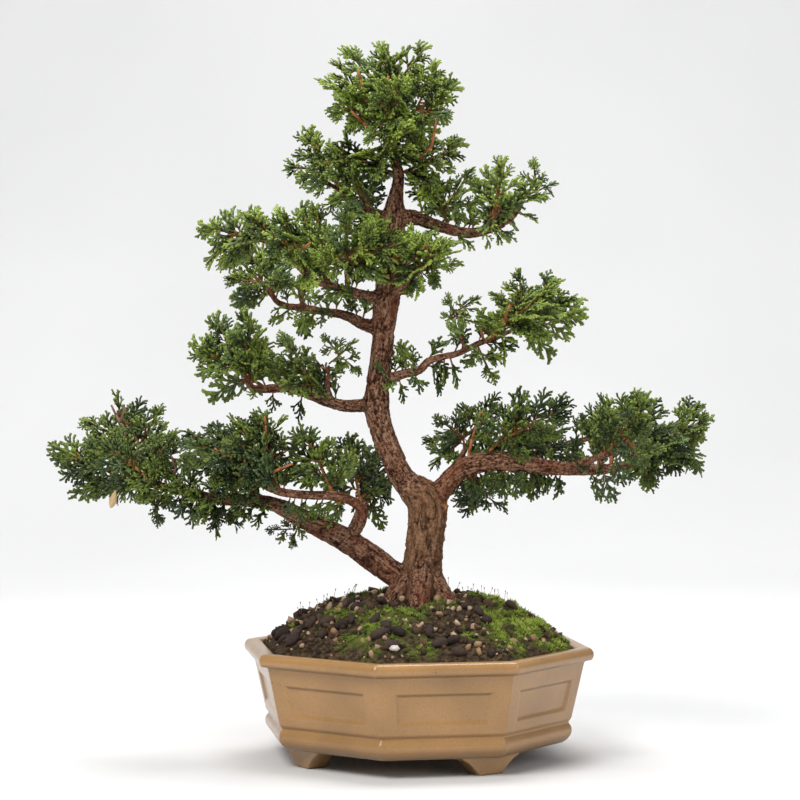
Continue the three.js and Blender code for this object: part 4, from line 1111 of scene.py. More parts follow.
def wood_mesh(voxel, relief_depth):
    """Trunk, roots, limbs and stubs as one skin with fibrous relief."""
    lines = [limb_line(points) for points in LIMBS.values()]
    stubs = [np.array(stub, float) for stub in STUBS]
    mesh = limb_skin([*lines, *stubs], voxel)
    points = vertex_places(mesh)
    normals = np.empty(points.size)
    mesh.vertex_normals.foreach_get("vector", normals)
    place, radii = bark_places(points, lines)
    relief = np.array([bark_relief(spot, radius) for spot, radius in zip(place, radii)])
    cut = cut_faces(points, stubs)
    depth = np.clip(radii * RELIEF_SHARE, RELIEF_LEAST, relief_depth) * (1 - cut)
    points = points + normals.reshape(-1, 3) * (relief * depth)[:, None]
    mesh.vertices.foreach_set("co", points.ravel())
    place[:, 2] *= STRAND_STRETCH
    vector = mesh.attributes.new("bark_place", "FLOAT_VECTOR", "POINT")
    vector.data.foreach_set("vector", (place * MM).ravel())
    for name, values in (("bark_relief", relief), ("girth", radii * MM), ("cut", cut)):
        attribute = mesh.attributes.new(name, "FLOAT", "POINT")
        attribute.data.foreach_set("value", values)
    return mesh


# ---------------------------------------------------------------- leafy sprays
def leaf_bmesh():
    """An empty mesh with the layers that the leaves' colours read."""
    bm = bmesh.new()
    for value in LEAF_VALUES:
        bm.verts.layers.float.new(value)
    return bm


def grow_rod(bm, start, end, width, thick, fresh_from, fresh_to, woody=0.0):
    """One scale-clad branchlet: a flat blunt rod with a keel, from start to end."""
    axis = Vector(end) - Vector(start)
    length = axis.length
    made = post(bm, 3, 0.5, 0.62, 1)
    fresh, wood = (bm.verts.layers.float[value] for value in LEAF_VALUES)
    ahead = axis.normalized()
    side = UP.cross(ahead)
    side = side.normalized() if side.length > 0.01 else Vector((1, 0, 0))
    keel = ahead.cross(side)
    turn = Matrix((side, keel, ahead)).transposed()
    middle = (Vector(start) + Vector(end)) / 2
    for vert in made:
        vert[fresh] = mix(fresh_from, fresh_to, vert.co.z + 0.5)
        vert[wood] = woody
        local = Vector((vert.co.x * width, vert.co.y * thick, vert.co.z * length))
        vert.co = middle + turn @ local


def frond_template(name, length, seed, youth):
    """A flat, forking fan of branchlets along +X, as hinoki cypress carries them."""
    roll = dice(seed)
    bm = leaf_bmesh()
    phase = roll(0, 6)
    scale = length / 20

    def spot(x, y):
        """A place on the fan, which droops at its tip and cups a little."""
        ripple = 0.4 * math.sin(x * 0.45 + y * 0.8 + phase)
        return (x, y, FAN_CUP * y * y / scale - FAN_SAG * x * x / scale + ripple)

    def axis(x, y, heading, reach, order, curl):
        """One axis of rods, with shorter axes or stubs off both sides."""
        rods = max(1, round(reach / ROD_LENGTH[order]))
        stride = reach / rods
        places = [(x, y, heading)]
        for k in range(rods):
            turn = heading + curl * (k + 0.5) / rods
            ahead = (x + math.cos(turn) * stride, y + math.sin(turn) * stride)
            ages = [mix(FRESH_FROM[order], FRESH_TO[order], min((k + j) / rods, 1)) + youth for j in (0, 1)]
            over = 0.0 if k == rods - 1 else ROD_OVERLAP
            beyond = (ahead[0] + math.cos(turn) * over, ahead[1] + math.sin(turn) * over)
            woody = max(0.0, 0.6 - 1.6 * k / rods) if order == 0 else 0.0
            width = ROD_WIDTH[order] * (0.8 if woody > 0.2 else 1)
            grow_rod(bm, spot(x, y), spot(*beyond), width, ROD_THICK, *ages, woody)
            x, y = ahead
            places.append((x, y, turn))
        if order == 2:
            return
        nodes = max(1, int(reach / NODE_PITCH[order]))
        sign = 1 if roll() < 0.5 else -1
        for k in range(nodes):
            share = (k + roll(0.55, 0.95)) / nodes
            for each in (sign, -sign) if order == 0 or roll() < PAIR_SHARE else (sign,):
                at = min(share + (0 if each == sign else 0.4 / nodes), 0.93)
                k_rod = min(int(at * rods), rods - 1)
                part = at * rods - k_rod
                here = [mix(a, b, part) for a, b in zip(places[k_rod][:2], places[k_rod + 1][:2])]
                wide = reach * SIDE_REACH[order] * (1 - at) ** 0.55 * min(1, 0.55 + at * 1.6)
                angle = mix(*SIDE_ANGLE, at) * roll(0.85, 1.15)
                out = (wide + SIDE_LEAST[order]) * roll(0.8, 1.15)
                axis(*here, places[k_rod + 1][2] + each * angle, out, order + 1, -each * 0.3)
            sign = -sign

    axis(0, 0, 0, length, 0, roll(-0.2, 0.2))
    return to_mesh(bm, name)


def frond_templates():
    """Fans in three lengths, each in a few drawings, from old and dark to young and bright."""
    kept = {}
    for size, length in enumerate(FROND_LENGTHS):
        for kind in range(FROND_KINDS):
            youth = mix(*FROND_YOUTH, kind / (FROND_KINDS - 1))
            mesh = frond_template("frond", length, 17 + size * 10 + kind, youth)
            points = vertex_places(mesh)
            kept[size, kind] = (mesh, points, float(points[:, 0].max()))
    return kept


class Spray:
    """One arm of a stem: a bent flat spray with a rib and lobes in alternate pairs."""

    def __init__(self, root, tip, leafy, roll):
        self.root = Vector(root)
        span = Vector(tip) - self.root
        self.length = span.length
        self.along = span / self.length
        normal = FACING - self.along * FACING.dot(self.along)
        turn = TURN * (2 * roll() - 1)
        self.normal = Quaternion(self.along, turn) @ normal.normalized()
        self.across = self.normal.cross(self.along)
        self.bare = 1 - leafy / self.length

    def bend(self, x, y):
        sway = SWAY * min(abs(y) / 0.3, 1) * math.sin(11 * x + (1.5 if y > 0 else 0)) * x
        return ARCH * x * (x - 1) + sway

    def point(self, x, y=0.0):
        reach = self.along * x + self.across * y + self.normal * self.bend(x, y)
        return self.root + reach * self.length

    def lobes(self):
        """Start, tip and side of each lobe and of the end, in the arm's own measure."""
        leafy = 1 - self.bare
        pairs = LOBE_PAIRS[0 if leafy * self.length < SMALL_SPRAY else 1]
        step = 0.8 * leafy / pairs
        found = []
        for sign, lag in ((-1, 0.0), (1, 0.4 * step)):
            for k in range(pairs):
                ahead = k / (pairs - 1)
                start = self.bare + lag + k * step
                reach = leafy * mix(*LOBE_REACH, ahead)
                angle = mix(*LOBE_ANGLE, ahead)
                tip = (start + reach * math.cos(angle), sign * reach * math.sin(angle))
                found.append((start, tip, sign))
        found.append((1 - 0.45 * leafy, (1.0, 0.0), 0))
        return found


def stem_sprays(name):
    """The arms of one stem, each a Spray."""
    limb, at, seed, arms = STEMS[name]
    roll = dice(seed)
    sprays = []
    root = Vector(LIMBS[limb][at][:3])
    for x, y, z, leafy in arms:
        sprays.append(Spray(root, (x, y, z), leafy, roll))
        root = sprays[0].point(SPLIT)
    return sprays


def frond_matrix(start, end, face, scale):
    """Places a fan at start, heading for end, with its flat side to face."""
    heading = (end - start).normalized()
    up = (face - heading * face.dot(heading)).normalized()
    side = up.cross(heading)
    turn = Matrix((heading, side, up)).transposed().to_4x4()
    return Matrix.Translation(start) @ turn @ Matrix.Scale(scale, 4)


def within(points, matrix, low, high):
    """Whether all of a fan's points stay in the box, once placed."""
    turn = np.array(matrix.to_3x3())
    moved = points @ turn.T + np.array(matrix.translation)
    return bool((moved.min(0) > low).all() and (moved.max(0) < high).all())


class Foliage:
    """Leafy growth under construction, built of fans that keep within the tree's box."""

    def __init__(self, templates, limits, seed):
        self.templates = templates
        self.limits = limits
        self.roll = dice(seed)
        self.bm = leaf_bmesh()

    def add_fan(self, kind, start, reach, face):
        """Adds the template nearest in length, drawn shorter where it would leave the box."""
        size = min(range(len(FROND_LENGTHS)), key=lambda k: abs(FROND_LENGTHS[k] - reach.length))
        mesh, points, natural = self.templates[size, kind]
        end = start + reach
        scale = (end - start).length / natural
        for _ in range(FAN_TRIES):
            matrix = frond_matrix(start, end, face, scale)
            if within(points, matrix, *self.limits):
                placed = mesh.copy()
                placed.transform(matrix)
                self.bm.from_mesh(placed)
                bpy.data.meshes.remove(placed)
                return
            scale *= FAN_SHRINK

    def add_rib(self, spray):
        """The arm's own rib, a thin brown twig that greens toward the tip."""
        count = max(4, round(spray.length / 5))
        for k in range(count):
            share = k / count
            start = spray.point(share * RIB_END)
            end = spray.point((k + 1.15) / count * RIB_END)
            width = mix(min(2.0, 0.048 * spray.length), 1.1, share)
            woody = min(1, max(0, 1.5 - 3 * share)) * min(1, spray.length / BROWN_TWIG)
            grow_rod(self.bm, start, end, width, width, share * 0.6, share * 0.7, woody)

    def add_spray(self, spray):
        """One arm: fans in its plane on every lobe, more raised to either side, small ones on the rib."""
        roll = self.roll
        self.add_rib(spray)
        thinned = 0.4 if spray.point(1).y > THIN_BEHIND else 1.0
        for start_x, tip, sign in spray.lobes():
            start = spray.point(start_x)
            heading = (spray.point(*tip) - start) * roll(0.94, 1.03)
            face = Quaternion(spray.along, roll(-0.3, 0.3)) @ spray.normal
            self.add_fan(self.aged_shaded_kind(spray.point(1).z), start, heading, face)
            axis = spray.along if sign else spray.across
            for side, share in zip((1, -1), RAISED_SHARE):
                if roll() > share * thinned:
                    continue
                turn = Quaternion(axis, roll(*RAISED_ANGLE) * side * (sign if sign else 1))
                raised = turn @ heading * roll(0.7, 0.98)
                foot = spray.point(max(0.05, start_x + roll(-0.1, 0.06)))
                self.add_fan(int(roll() * 3.999), foot, raised, turn @ face)
        small = int(spray.bare * spray.length / RIB_FAN_PITCH)
        for k in range(small):
            foot = spray.point(spray.bare * (k + roll(0.5, 1.0)) / small)
            turn = Quaternion(spray.along, roll(-1.2, 1.2))
            out = spray.along * roll(0.5, 1.0) + (spray.across if k % 2 else -spray.across) * roll(0.5, 1.0)
            raised = turn @ out.normalized() * roll(*RIB_FAN_REACH)
            self.add_fan(int(roll() * 3), foot, raised, turn @ spray.normal)

    def aged_shaded_kind(self, height):
        """Draws a kind of fan: the oldest, darkest one only grows low on the tree, partly for age and partly
        as painted shade.
        """
        return (0 if height < OLD_SHADED_BELOW else 1) + int(self.roll() * 2.999)

    def add_limb_fan(self, spot, along, radius, fronting, hanging):
        """One short spray from a limb: to the front, hanging, or else upward."""
        roll = self.roll
        choice = roll()
        if choice < fronting:
            out = Vector((roll(-1.2, 1.2), roll(-1.0, -0.35), roll(-0.8, 0.9)))
        elif choice < fronting + hanging:
            out = Vector((roll(-0.5, 0.5), roll(-0.7, 0.3), -1.0))
        else:
            out = Vector((roll(-0.8, 0.8), roll(-0.5, 0.6), 1.0))
        out = (out - along * out.dot(along) * 0.6 + along * 0.3).normalized()
        foot = spot + out * radius * 0.5
        reach = out * roll(*LIMB_FAN_REACH)
        face = Quaternion(out, roll(-0.9, 0.9)) @ FACING
        self.add_fan(self.aged_shaded_kind(spot.z), foot, reach, face)


def stem_mesh(name, templates, limits):
    """One leafy stem: every arm of it, clothed."""
    growth = Foliage(templates, limits, STEMS[name][2] + 400)
    for spray in stem_sprays(name):
        growth.add_spray(spray)
    return to_mesh(growth.bm, name)


def limb_fans(name, templates, limits):
    """Short sprays straight off a limb: above it, before it, and some hanging under its thin end."""
    growth = Foliage(templates, limits, sum(name.encode()))
    for first, last, pitch, *shares in LEAFY_RUNS[name]:
        travelled = 0.0
        line = limb_line(LIMBS[name][first:last + 1])
        for before, here in zip(line, line[1:]):
            travelled += float(np.linalg.norm(here[:3] - before[:3]))
            along = Vector(here[:3] - before[:3]).normalized()
            while travelled > pitch:
                travelled -= pitch * growth.roll(0.8, 1.2)
                growth.add_limb_fan(Vector(here[:3]) - along * travelled, along, here[3], *shares)
    return to_mesh(growth.bm, name)


def bare_twigs(name, lines):
    """Bare twigs that stand clear of the leaves, each a run of tapering round lengths."""
    bm = bmesh.new()
    for line in lines:
        places = limb_line(line)
        chosen = [*places[:-2:3], places[-1]]
        for before, here in zip(chosen, chosen[1:]):
            start, end = Vector(before[:3]), Vector(here[:3])
            made = post(bm, 7, before[3], here[3], (end - start).length + 0.6, False)
            turn = UP.rotation_difference(end - start).to_matrix()
            turn_and_shift(bm, made, turn, (start + end) / 2)
    return to_mesh(bm, name)


def dry_scale():
    """A dry curled scale, hanging by its thin end."""
    bm = bmesh.new()
    bmesh.ops.create_uvsphere(bm, u_segments=14, v_segments=12, radius=1)
    for vert in bm.verts:
        x, y, z = vert.co
        taper = 1 - 0.45 * (z + 0.3) ** 2
        vert.co = (1.9 * x * taper, 0.4 * y + 0.9 * x * x, 4.6 * z)
    turn_and_shift(bm, bm.verts[:], Matrix.Rotation(0.25, 3, "Y"), DRY_SCALE)
    return to_mesh(bm, "dry_scale")


# ---------------------------------------------------------------- ground
def soil_mesh(rings, sectors):
    """The filled soil: a spun section warped to the pot's octagon, with crumbs and cushions on top."""
    section = [(MOUTH_FLAT * (k / rings) ** 0.9, 0.0) for k in range(rings + 1)]
    section[-1] = (MOUTH_FLAT - 0.6, 0.0)
    section += [(MOUTH_FLAT - 1.4, -6.0), (FLOOR_FLAT + 2, -34.0), (0.0, -34.0)]
    bm = spun(section, 0, sectors, 0.001)
    mossy = bm.verts.layers.float.new("mossy")
    for vert in bm.verts:
        x, y, z = vert.co
        stretch = octagon_reach(x, y)
        x, y = x * stretch, y * stretch
        if z > -1:
            vert[mossy] = moss_cover(x, y)
            vert.co = (x, y, ground_height(x, y))
        else:
            vert.co = (x, y, SOIL_RIM_Z + z)
    bmesh.ops.recalc_face_normals(bm, faces=bm.faces[:])
    return to_mesh(bm, "soil")


def ground_normal(x, y):
    """The way up from the mound, without its crumbs."""
    slope_x = mound_height(x + 1, y) - mound_height(x - 1, y)
    slope_y = mound_height(x, y + 1) - mound_height(x, y - 1)
    return Vector((-slope_x, -slope_y, 2)).normalized()


def laid_turn(x, y, heading):
    """A turn that lays a thing on the mound, with its length along a heading."""
    return UP.rotation_difference(ground_normal(x, y)) @ Quaternion(UP, heading)


def on_soil(x, y, edge):
    """Whether a place lies on the open soil, clear of the rim and the trunk."""
    if math.hypot(x, y) > octagon_reach(x, y) * (MOUTH_FLAT - edge):
        return False
    return math.hypot(x - TRUNK_FOOT, y) > TRUNK_CLEAR


def scattered(roll):
    """A random place over the pot."""
    return roll(-SCATTER_REACH, SCATTER_REACH), roll(-SCATTER_REACH, SCATTER_REACH)


def lump_template(seed, detail, rough):
    """A rough stone of size 1."""
    roll = dice(seed)
    bm = bmesh.new()
    bmesh.ops.create_icosphere(bm, subdivisions=detail, radius=1)
    shift = Vector((roll(0, 50), roll(0, 50), roll(0, 50)))
    for vert in bm.verts:
        vert.co *= 1 + rough * noise.noise(vert.co * 1.3 + shift)
    return to_mesh(bm, "lump")


def scatter_lumps(name, spots, templates):
    """Many lumps in one mesh. A spot is place, half sizes, turn, tone and template number."""
    bm = bmesh.new()
    tone = bm.verts.layers.float.new("tone")
    for place, half, turn, shade, number in spots:
        lump = templates[number].copy()
        lump.transform(Matrix.Translation(place) @ turn.to_matrix().to_4x4() @ Matrix.Diagonal((*half, 1)))
        before = len(bm.verts)
        bm.from_mesh(lump)
        bpy.data.meshes.remove(lump)
        bm.verts.ensure_lookup_table()
        for k in range(before, len(bm.verts)):
            bm.verts[k][tone] = shade
    return to_mesh(bm, name)


def random_turn(roll):
    return Quaternion((roll(-1, 1), roll(-1, 1), roll(-1, 1), roll(-1, 1))).normalized()


def grit_spots(count, smallest, largest, seed, keep_off_moss):
    """Random places for small stones on the bare soil."""
    roll = dice(seed)
    spots = []
    while len(spots) < count:
        x, y = scattered(roll)
        size = mix(smallest, largest, roll() ** 2.2)
        if not on_soil(x, y, size + 0.8) or moss_cover(x, y) > keep_off_moss * roll(0.4, 1.2):
            continue
        half = (size * roll(0.8, 1.2), size * roll(0.65, 1), size * roll(0.5, 0.8))
        place = Vector((x, y, ground_height(x, y) + size * 0.2))
        spots.append((place, half, random_turn(roll), roll(), int(roll() * 3.999)))
    return spots


def pellet_spots():
    """The feed pellets' places, laid flat on the mound."""
    spots = []
    roll = dice(PELLET_SEED)
    for x, y, heading in PELLETS:
        place = Vector((x, y, mound_height(x, y) + 0.9))
        half = (PELLET_HALF[0] * roll(0.85, 1.15), PELLET_HALF[1] * roll(0.85, 1.1), PELLET_HALF[2])
        spots.append((place, half, laid_turn(x, y, heading), roll(), int(roll() * 3.999)))
    return spots


def tuft_template(seed, leaves, height):
    """A moss tuft: slender pointed shoots leaning out from one foot."""
    roll = dice(seed)
    bm = bmesh.new()
    for k in range(leaves):
        tall = height * roll(0.6, 1.15)
        made = post(bm, 3, 0.5, 0, tall)
        bmesh.ops.translate(bm, vec=(0, 0, tall / 2), verts=made)
        around = roll(0, 2 * math.pi)
        turn = Matrix.Rotation(around, 3, "Z") @ Matrix.Rotation(roll(0.1, 0.75), 3, "X")
        away = roll(0, 0.9)
        turn_and_shift(bm, made, turn, (away * math.sin(around), -away * math.cos(around), -0.4))
    bmesh.ops.remove_doubles(bm, verts=bm.verts[:], dist=0.00001)
    return to_mesh(bm, "tuft")


def moss_mesh(count, height):
    """Moss tufts, denser and brighter in the middle of each patch."""
    templates = [tuft_template(60 + k, TUFT_SHOOTS, height) for k in range(TUFT_KINDS)]
    roll = dice(MOSS_SEED)
    spots = []
    tries = 0
    while len(spots) < count and tries < count * 60:
        tries += 1
        x, y = scattered(roll)
        cover = moss_cover(x, y)
        if cover < roll(0.1, 0.7) or not on_soil(x, y, 1.2):
            continue
        size = mix(0.75, 1.3, cover) * roll(0.85, 1.35)
        turn = laid_turn(x, y, roll(0, 6.28))
        # A tuft's tone: higher where the moss is thick and right of the pot, plus a random share; low tones
        # are partly painted shade.
        shade = min(1, max(0, 0.25 + 0.6 * cover * (1 if x > 15 else 0.55) + roll(-0.2, 0.2)))
        spots.append((Vector((x, y, ground_height(x, y))), (size,) * 3, turn, shade, int(roll() * 4.999)))
    return scatter_lumps("moss", spots, templates)


def stalk_mesh(count):
    """Fine brown spore stalks with their small heads, where the moss is ripe."""
    roll = dice(STALK_SEED)
    bm = bmesh.new()
    made = 0
    while made < count:
        centre_x, centre_y = STALK_PATCHES[int(roll() * (len(STALK_PATCHES) - 0.001))]
        x, y = centre_x + roll(-12, 12), centre_y + roll(-8, 8)
        if not on_soil(x, y, 3):
            continue
        made += 1
        tall = roll(3.5, 9.0)
        stalk = post(bm, 4, 0.13, 0.1, tall)
        head = bmesh.ops.create_uvsphere(bm, u_segments=4, v_segments=3, radius=0.3)["verts"]
        bmesh.ops.translate(bm, vec=(0, 0, tall / 2), verts=stalk)
        bmesh.ops.scale(bm, vec=(1, 1, 2.1), verts=head)
        bmesh.ops.translate(bm, vec=(0, 0, tall), verts=head)
        lean = Matrix.Rotation(roll(0, 6.28), 3, "Z") @ Matrix.Rotation(roll(0, 0.5), 3, "X")
        turn_and_shift(bm, stalk + head, lean, (x, y, ground_height(x, y) - 0.5))
    return to_mesh(bm, "moss_stalks")


# ---------------------------------------------------------------- what a user would change
def colour_choice(name, description, rgb):
    return bpy.props.FloatVectorProperty(
        name=name, description=description, default=linear(rgb), subtype="COLOR", size=3, min=0, max=1,
    )


def length_choice(name, description, value):
    return bpy.props.FloatProperty(name=name, description=description, default=value, unit="LENGTH", min=0)


def share_choice(name, description, value):
    return bpy.props.FloatProperty(
        name=name, description=description, default=value, subtype="FACTOR", min=0, max=1,
    )


class BonsaiPotSettings(bpy.types.PropertyGroup):
    glaze: colour_choice("Glaze", "Colour of the pot's glaze", (164, 124, 76))
    speckle: share_choice("Speckle", "How strongly the glaze is speckled", 0.5)
    edge: length_choice("Edge", "Rounding of the pot's edges", 0.0011)


class BonsaiWoodSettings(bpy.types.PropertyGroup):
    young: colour_choice("Young bark", "Colour of the fresh reddish bark", (128, 83, 60))
    flake: colour_choice("Flakes", "Colour of the pale weathered flakes", (188, 152, 124))
    deep: colour_choice("Fissures", "Colour deep between the strands", (48, 31, 23))
    grain: length_choice("Grain", "Size of the finest shape in the bark", 0.00095)
    relief: length_choice("Relief", "Depth of the bark on the trunk", 0.0011)


class BonsaiLeafSettings(bpy.types.PropertyGroup):
    deep: colour_choice("Old leaves", "Colour deep in the pads", (35, 55, 21))
    fresh: colour_choice("New leaves", "Colour of the growing tips", (160, 182, 72))
    glaucous: colour_choice("Bluish leaves", "Colour of the bluish patches", (112, 136, 98))
    twig: colour_choice("Twigs", "Colour of the ribs that bear the sprays", (176, 110, 52))


class BonsaiGroundSettings(bpy.types.PropertyGroup):
    loam: colour_choice("Loam", "Colour of the damp soil", (40, 31, 23))
    crumb: colour_choice("Crumbs", "Colour of the dry crumbs", (96, 78, 55))
    moss_deep: colour_choice("Old moss", "Colour of the moss in the shade", (54, 64, 24))
    moss_fresh: colour_choice("New moss", "Colour of the moss in the light", (134, 150, 60))
    moss_height: length_choice("Moss height", "How tall the moss shoots stand", 0.002)


def choices(kind):
    """The user's settings of one kind."""
    return getattr(bpy.context.scene, "bonsai_" + kind)


# ---------------------------------------------------------------- operators
class BONSAI_OT_pot(bpy.types.Operator):
    """Build the glazed pot with its panels, feet and drain holes"""

    bl_idname = "bonsai.pot"
    bl_label = "Pot"

    def execute(self, context):
        wanted = choices("pot")
        shell = pot_shell()
        round_edges(shell, wanted.edge / MM, POT_EDGE_TURN)
        feet = [foot_shape(step) for step in range(0, POT_SIDES, 2)]
        holes = [drain_hole(side) for side in (-1, 1)]
        mesh = bore_and_join(to_mesh(shell, "shell"), holes, feet)
        glaze = glaze_finish(wanted.glaze, wanted.speckle)
        piece = make_piece("pot_glazed", mesh, glaze, ["pot"])
        piece.data.set_sharp_from_angle(angle=SHARP_TURN)
        keep_flats = piece.modifiers.new("even shading", "WEIGHTED_NORMAL")
        keep_flats.keep_sharp = True
        return {"FINISHED"}


class BONSAI_OT_screens(bpy.types.Operator):
    """Give the drain screens their black plastic"""

    bl_idname = "bonsai.screens"
    bl_label = "Drain screens"

    def execute(self, context):
        plastic = plain_finish("screen_plastic", SCREEN_BLACK)
        for name in ("drain_screen_1", "drain_screen_2"):
            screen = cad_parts[name]
            screen.data.materials.clear()
            screen.data.materials.append(plastic)
        return {"FINISHED"}


class BONSAI_OT_wood(bpy.types.Operator):
    """Build trunk, surface roots and limbs with their bark"""

    bl_idname = "bonsai.wood"
    bl_label = "Wood"

    def execute(self, context):
        wanted = choices("wood")
        mesh = wood_mesh(wanted.grain / MM, wanted.relief / MM)
        bark = bark_finish(wanted.young, wanted.flake, wanted.deep)
        make_piece("tree_wood", mesh, bark, ["wood"])
        return {"FINISHED"}


class BONSAI_OT_foliage(bpy.types.Operator):
    """Build the leafy sprays, one piece for each stem and limb, and the bare twigs among them"""

    bl_idname = "bonsai.foliage"
    bl_label = "Foliage"

    def execute(self, context):
        wanted = choices("leaf")
        leaves = leaf_finish(wanted.deep, wanted.fresh, wanted.glaucous, wanted.twig)
        templates = frond_templates()
        low, high = (np.array((corner - ORIGIN) / MM) for corner in CAD_BOX)
        limits = (low + BOX_MARGIN, high - BOX_MARGIN)
        for name in STEMS:
            mesh = stem_mesh(name, templates, limits)
            make_piece("leafy_stem_" + name, mesh, leaves, ["foliage_" + name])
        for name in LEAFY_RUNS:
            make_piece("limb_sprays_" + name, limb_fans(name, templates, limits), leaves)
        for name, colour, lines in (
            ("dead_twigs", DEAD_BROWN, DEAD_TWIGS),
            ("amber_twigs", AMBER_BROWN, AMBER_TWIGS),
        ):
            make_piece(name, bare_twigs(name, lines), plain_finish(name, colour))
        make_piece("dry_scale", dry_scale(), plain_finish("dry_scale", DRY_STRAW))
        for mesh, _, _ in templates.values():
            bpy.data.meshes.remove(mesh)
        return {"FINISHED"}


def loose_things():
    """Each kind on the soil: name, finish, dark and pale colour, grain, places and templates."""
    coarse = [lump_template(5 + k, 1, 0.7) for k in range(LUMP_KINDS)]
    fine = [lump_template(15 + k, 2, 0.55) for k in range(LUMP_KINDS)]
    x, y = PEBBLE_PLACE
    pebble = [(Vector((x, y, mound_height(x, y) + 1)), PEBBLE_HALF, Quaternion(), 0.8, 1)]
    return [
        ("grit", "buff_grit", (150, 118, 86), (206, 176, 148), 960, grit_spots(*GRIT_DRAWS), coarse),
        ("crumbs", "dark_crumbs", (44, 34, 26), (96, 74, 54), 960, grit_spots(*CRUMB_DRAWS), coarse),
        ("feed_pellets", "feed_pellets", (42, 32, 29), (82, 64, 56), 1200, pellet_spots(), fine),
        ("white_pebble", "white_pebble", (196, 190, 178), (226, 222, 212), 960, pebble, fine),
    ]


class BONSAI_OT_ground(bpy.types.Operator):
    """Build the mounded soil with its grit, crumbs, feed pellets and pebble"""

    bl_idname = "bonsai.ground"
    bl_label = "Soil"

    def execute(self, context):
        wanted = choices("ground")
        film = [mix(*pair, 0.35) for pair in zip(wanted.moss_deep, wanted.moss_fresh)]
        soil = soil_finish(wanted.loam, wanted.crumb, film)
        make_piece("soil_mound", soil_mesh(SOIL_RINGS, SOIL_SECTORS), soil, ["soil"])
        for name, finish_name, dark, pale, grain, spots, templates in loose_things():
            finish = stone_finish(finish_name, linear(dark), linear(pale), grain)
            make_piece(name, scatter_lumps(name, spots, templates), finish)
        return {"FINISHED"}


class BONSAI_OT_moss(bpy.types.Operator):
    """Grow the moss cushions and their spore stalks"""

    bl_idname = "bonsai.moss"
    bl_label = "Moss"

    def execute(self, context):
        wanted = choices("ground")
        green = moss_finish(wanted.moss_deep, wanted.moss_fresh)
        make_piece("moss", moss_mesh(MOSS_TUFTS, wanted.moss_height / MM), green)
        brown = plain_finish("spore_stalks", STALK_BROWN)
        make_piece("moss_stalks", stalk_mesh(SPORE_STALKS), brown)
        return {"FINISHED"}


def area_light(name, place, size, power, colour):
    """A round soft light that faces the tree from a place beside it."""
    lamp = bpy.data.lights.new(name, "AREA")
    lamp.shape = "DISK"
    lamp.size = size
    lamp.energy = power
    lamp.color = colour
    item = new_object(name, lamp)
    aim = ORIGIN + Vector((0, 0, AIM_HEIGHT))
    item.location = aim + Vector(place)
    item.rotation_mode = "QUATERNION"
    item.rotation_quaternion = (aim - item.location).to_track_quat("-Z", "Y")
    return item


def backdrop():
    """A pale floor that rises behind the tree in one soft sweep."""
    bm = bmesh.new()
    section = [(BACKDROP_FRONT, 0.0), (SWEEP_START, 0.0)]
    for k in range(1, SWEEP_STEPS + 1):
        turn = k / SWEEP_STEPS * math.pi / 2
        section.append((SWEEP_START + SWEEP_RADIUS * math.sin(turn), SWEEP_RADIUS * (1 - math.cos(turn))))
    section.append((SWEEP_START + SWEEP_RADIUS, BACKDROP_TOP))
    verts = [bm.verts.new((-BACKDROP_WIDTH / 2, y, z)) for y, z in section]
    edges = [bm.edges.new(pair) for pair in zip(verts, verts[1:])]
    grown = bmesh.ops.extrude_edge_only(bm, edges=edges)
    moved = [item for item in grown["geom"] if isinstance(item, bmesh.types.BMVert)]
    bmesh.ops.translate(bm, vec=(BACKDROP_WIDTH, 0, 0), verts=moved)
    bmesh.ops.recalc_face_normals(bm, faces=bm.faces[:])
    mesh = to_mesh(bm, "backdrop")
    mesh.shade_smooth()
    return mesh


def paper_finish():
    """Pale matt paper."""
    make = Finish("backdrop_paper", 0.9, 0.2)
    tone = make.grey(make.noise(make.object_place(), 2, 2), 0, 1, 0.35, 0.65)
    return make.done(make.blend(tone, linear((220, 220, 220)), linear((226, 226, 226))))


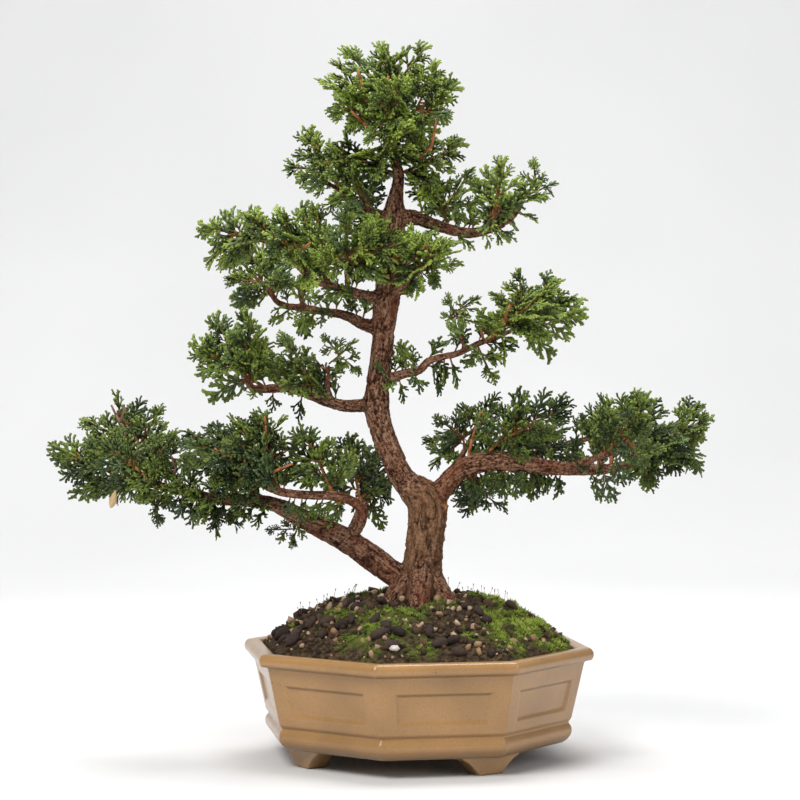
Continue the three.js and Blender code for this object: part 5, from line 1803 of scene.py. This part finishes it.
class BONSAI_OT_stage(bpy.types.Operator):
    """Set the pale floor, the soft lights and the camera"""

    bl_idname = "bonsai.stage"
    bl_label = "Stage"

    def execute(self, context):
        floor = new_object("backdrop", backdrop())
        floor.data.materials.append(paper_finish())
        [area_light(*light) for light in LIGHTS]
        world = bpy.data.worlds.new("soft_room")
        world.use_nodes = True
        room = world.node_tree.nodes["Background"].inputs
        room["Color"].default_value = (*ROOM_COLOUR, 1)
        room["Strength"].default_value = ROOM_LIGHT
        context.scene.world = world
        lens = bpy.data.cameras.new("camera")
        lens.sensor_width = SENSOR_WIDTH
        lens.lens = CAMERA_LENS
        camera = new_object("camera", lens)
        camera.location = ORIGIN + Vector(CAMERA_PLACE) * MM
        camera.rotation_euler = (math.radians(90 - CAMERA_DIP), 0, 0)
        context.scene.camera = camera
        context.scene.view_settings.view_transform = "Standard"
        context.scene.view_settings.look = "None"
        return {"FINISHED"}


class BONSAI_PT_panel(bpy.types.Panel):
    bl_idname = "BONSAI_PT_panel"
    bl_label = "Hinoki Bonsai"
    bl_space_type = "VIEW_3D"
    bl_region_type = "UI"
    bl_category = "Bonsai"

    def draw(self, context):
        for kind, group in SETTINGS:
            box = self.layout.box()
            for name in group.__annotations__:
                box.prop(choices(kind), name)
        for maker in MAKERS:
            self.layout.operator(maker.bl_idname)


SETTINGS = [
    ("pot", BonsaiPotSettings),
    ("wood", BonsaiWoodSettings),
    ("leaf", BonsaiLeafSettings),
    ("ground", BonsaiGroundSettings),
]
MAKERS = [
    BONSAI_OT_pot,
    BONSAI_OT_screens,
    BONSAI_OT_ground,
    BONSAI_OT_moss,
    BONSAI_OT_wood,
    BONSAI_OT_foliage,
    BONSAI_OT_stage,
]


def register():
    for kind, group in SETTINGS:
        bpy.utils.register_class(group)
        setattr(bpy.types.Scene, "bonsai_" + kind, bpy.props.PointerProperty(type=group))
    for maker in MAKERS:
        bpy.utils.register_class(maker)
    bpy.utils.register_class(BONSAI_PT_panel)


def unregister():
    bpy.utils.unregister_class(BONSAI_PT_panel)
    for maker in reversed(MAKERS):
        bpy.utils.unregister_class(maker)
    for kind, group in reversed(SETTINGS):
        delattr(bpy.types.Scene, "bonsai_" + kind)
        bpy.utils.unregister_class(group)


def main():
    register()
    bpy.ops.bonsai.pot()
    bpy.ops.bonsai.screens()
    bpy.ops.bonsai.ground()
    bpy.ops.bonsai.moss()
    bpy.ops.bonsai.wood()
    bpy.ops.bonsai.foliage()
    bpy.ops.bonsai.stage()


if __name__ == "__main__":
    main()
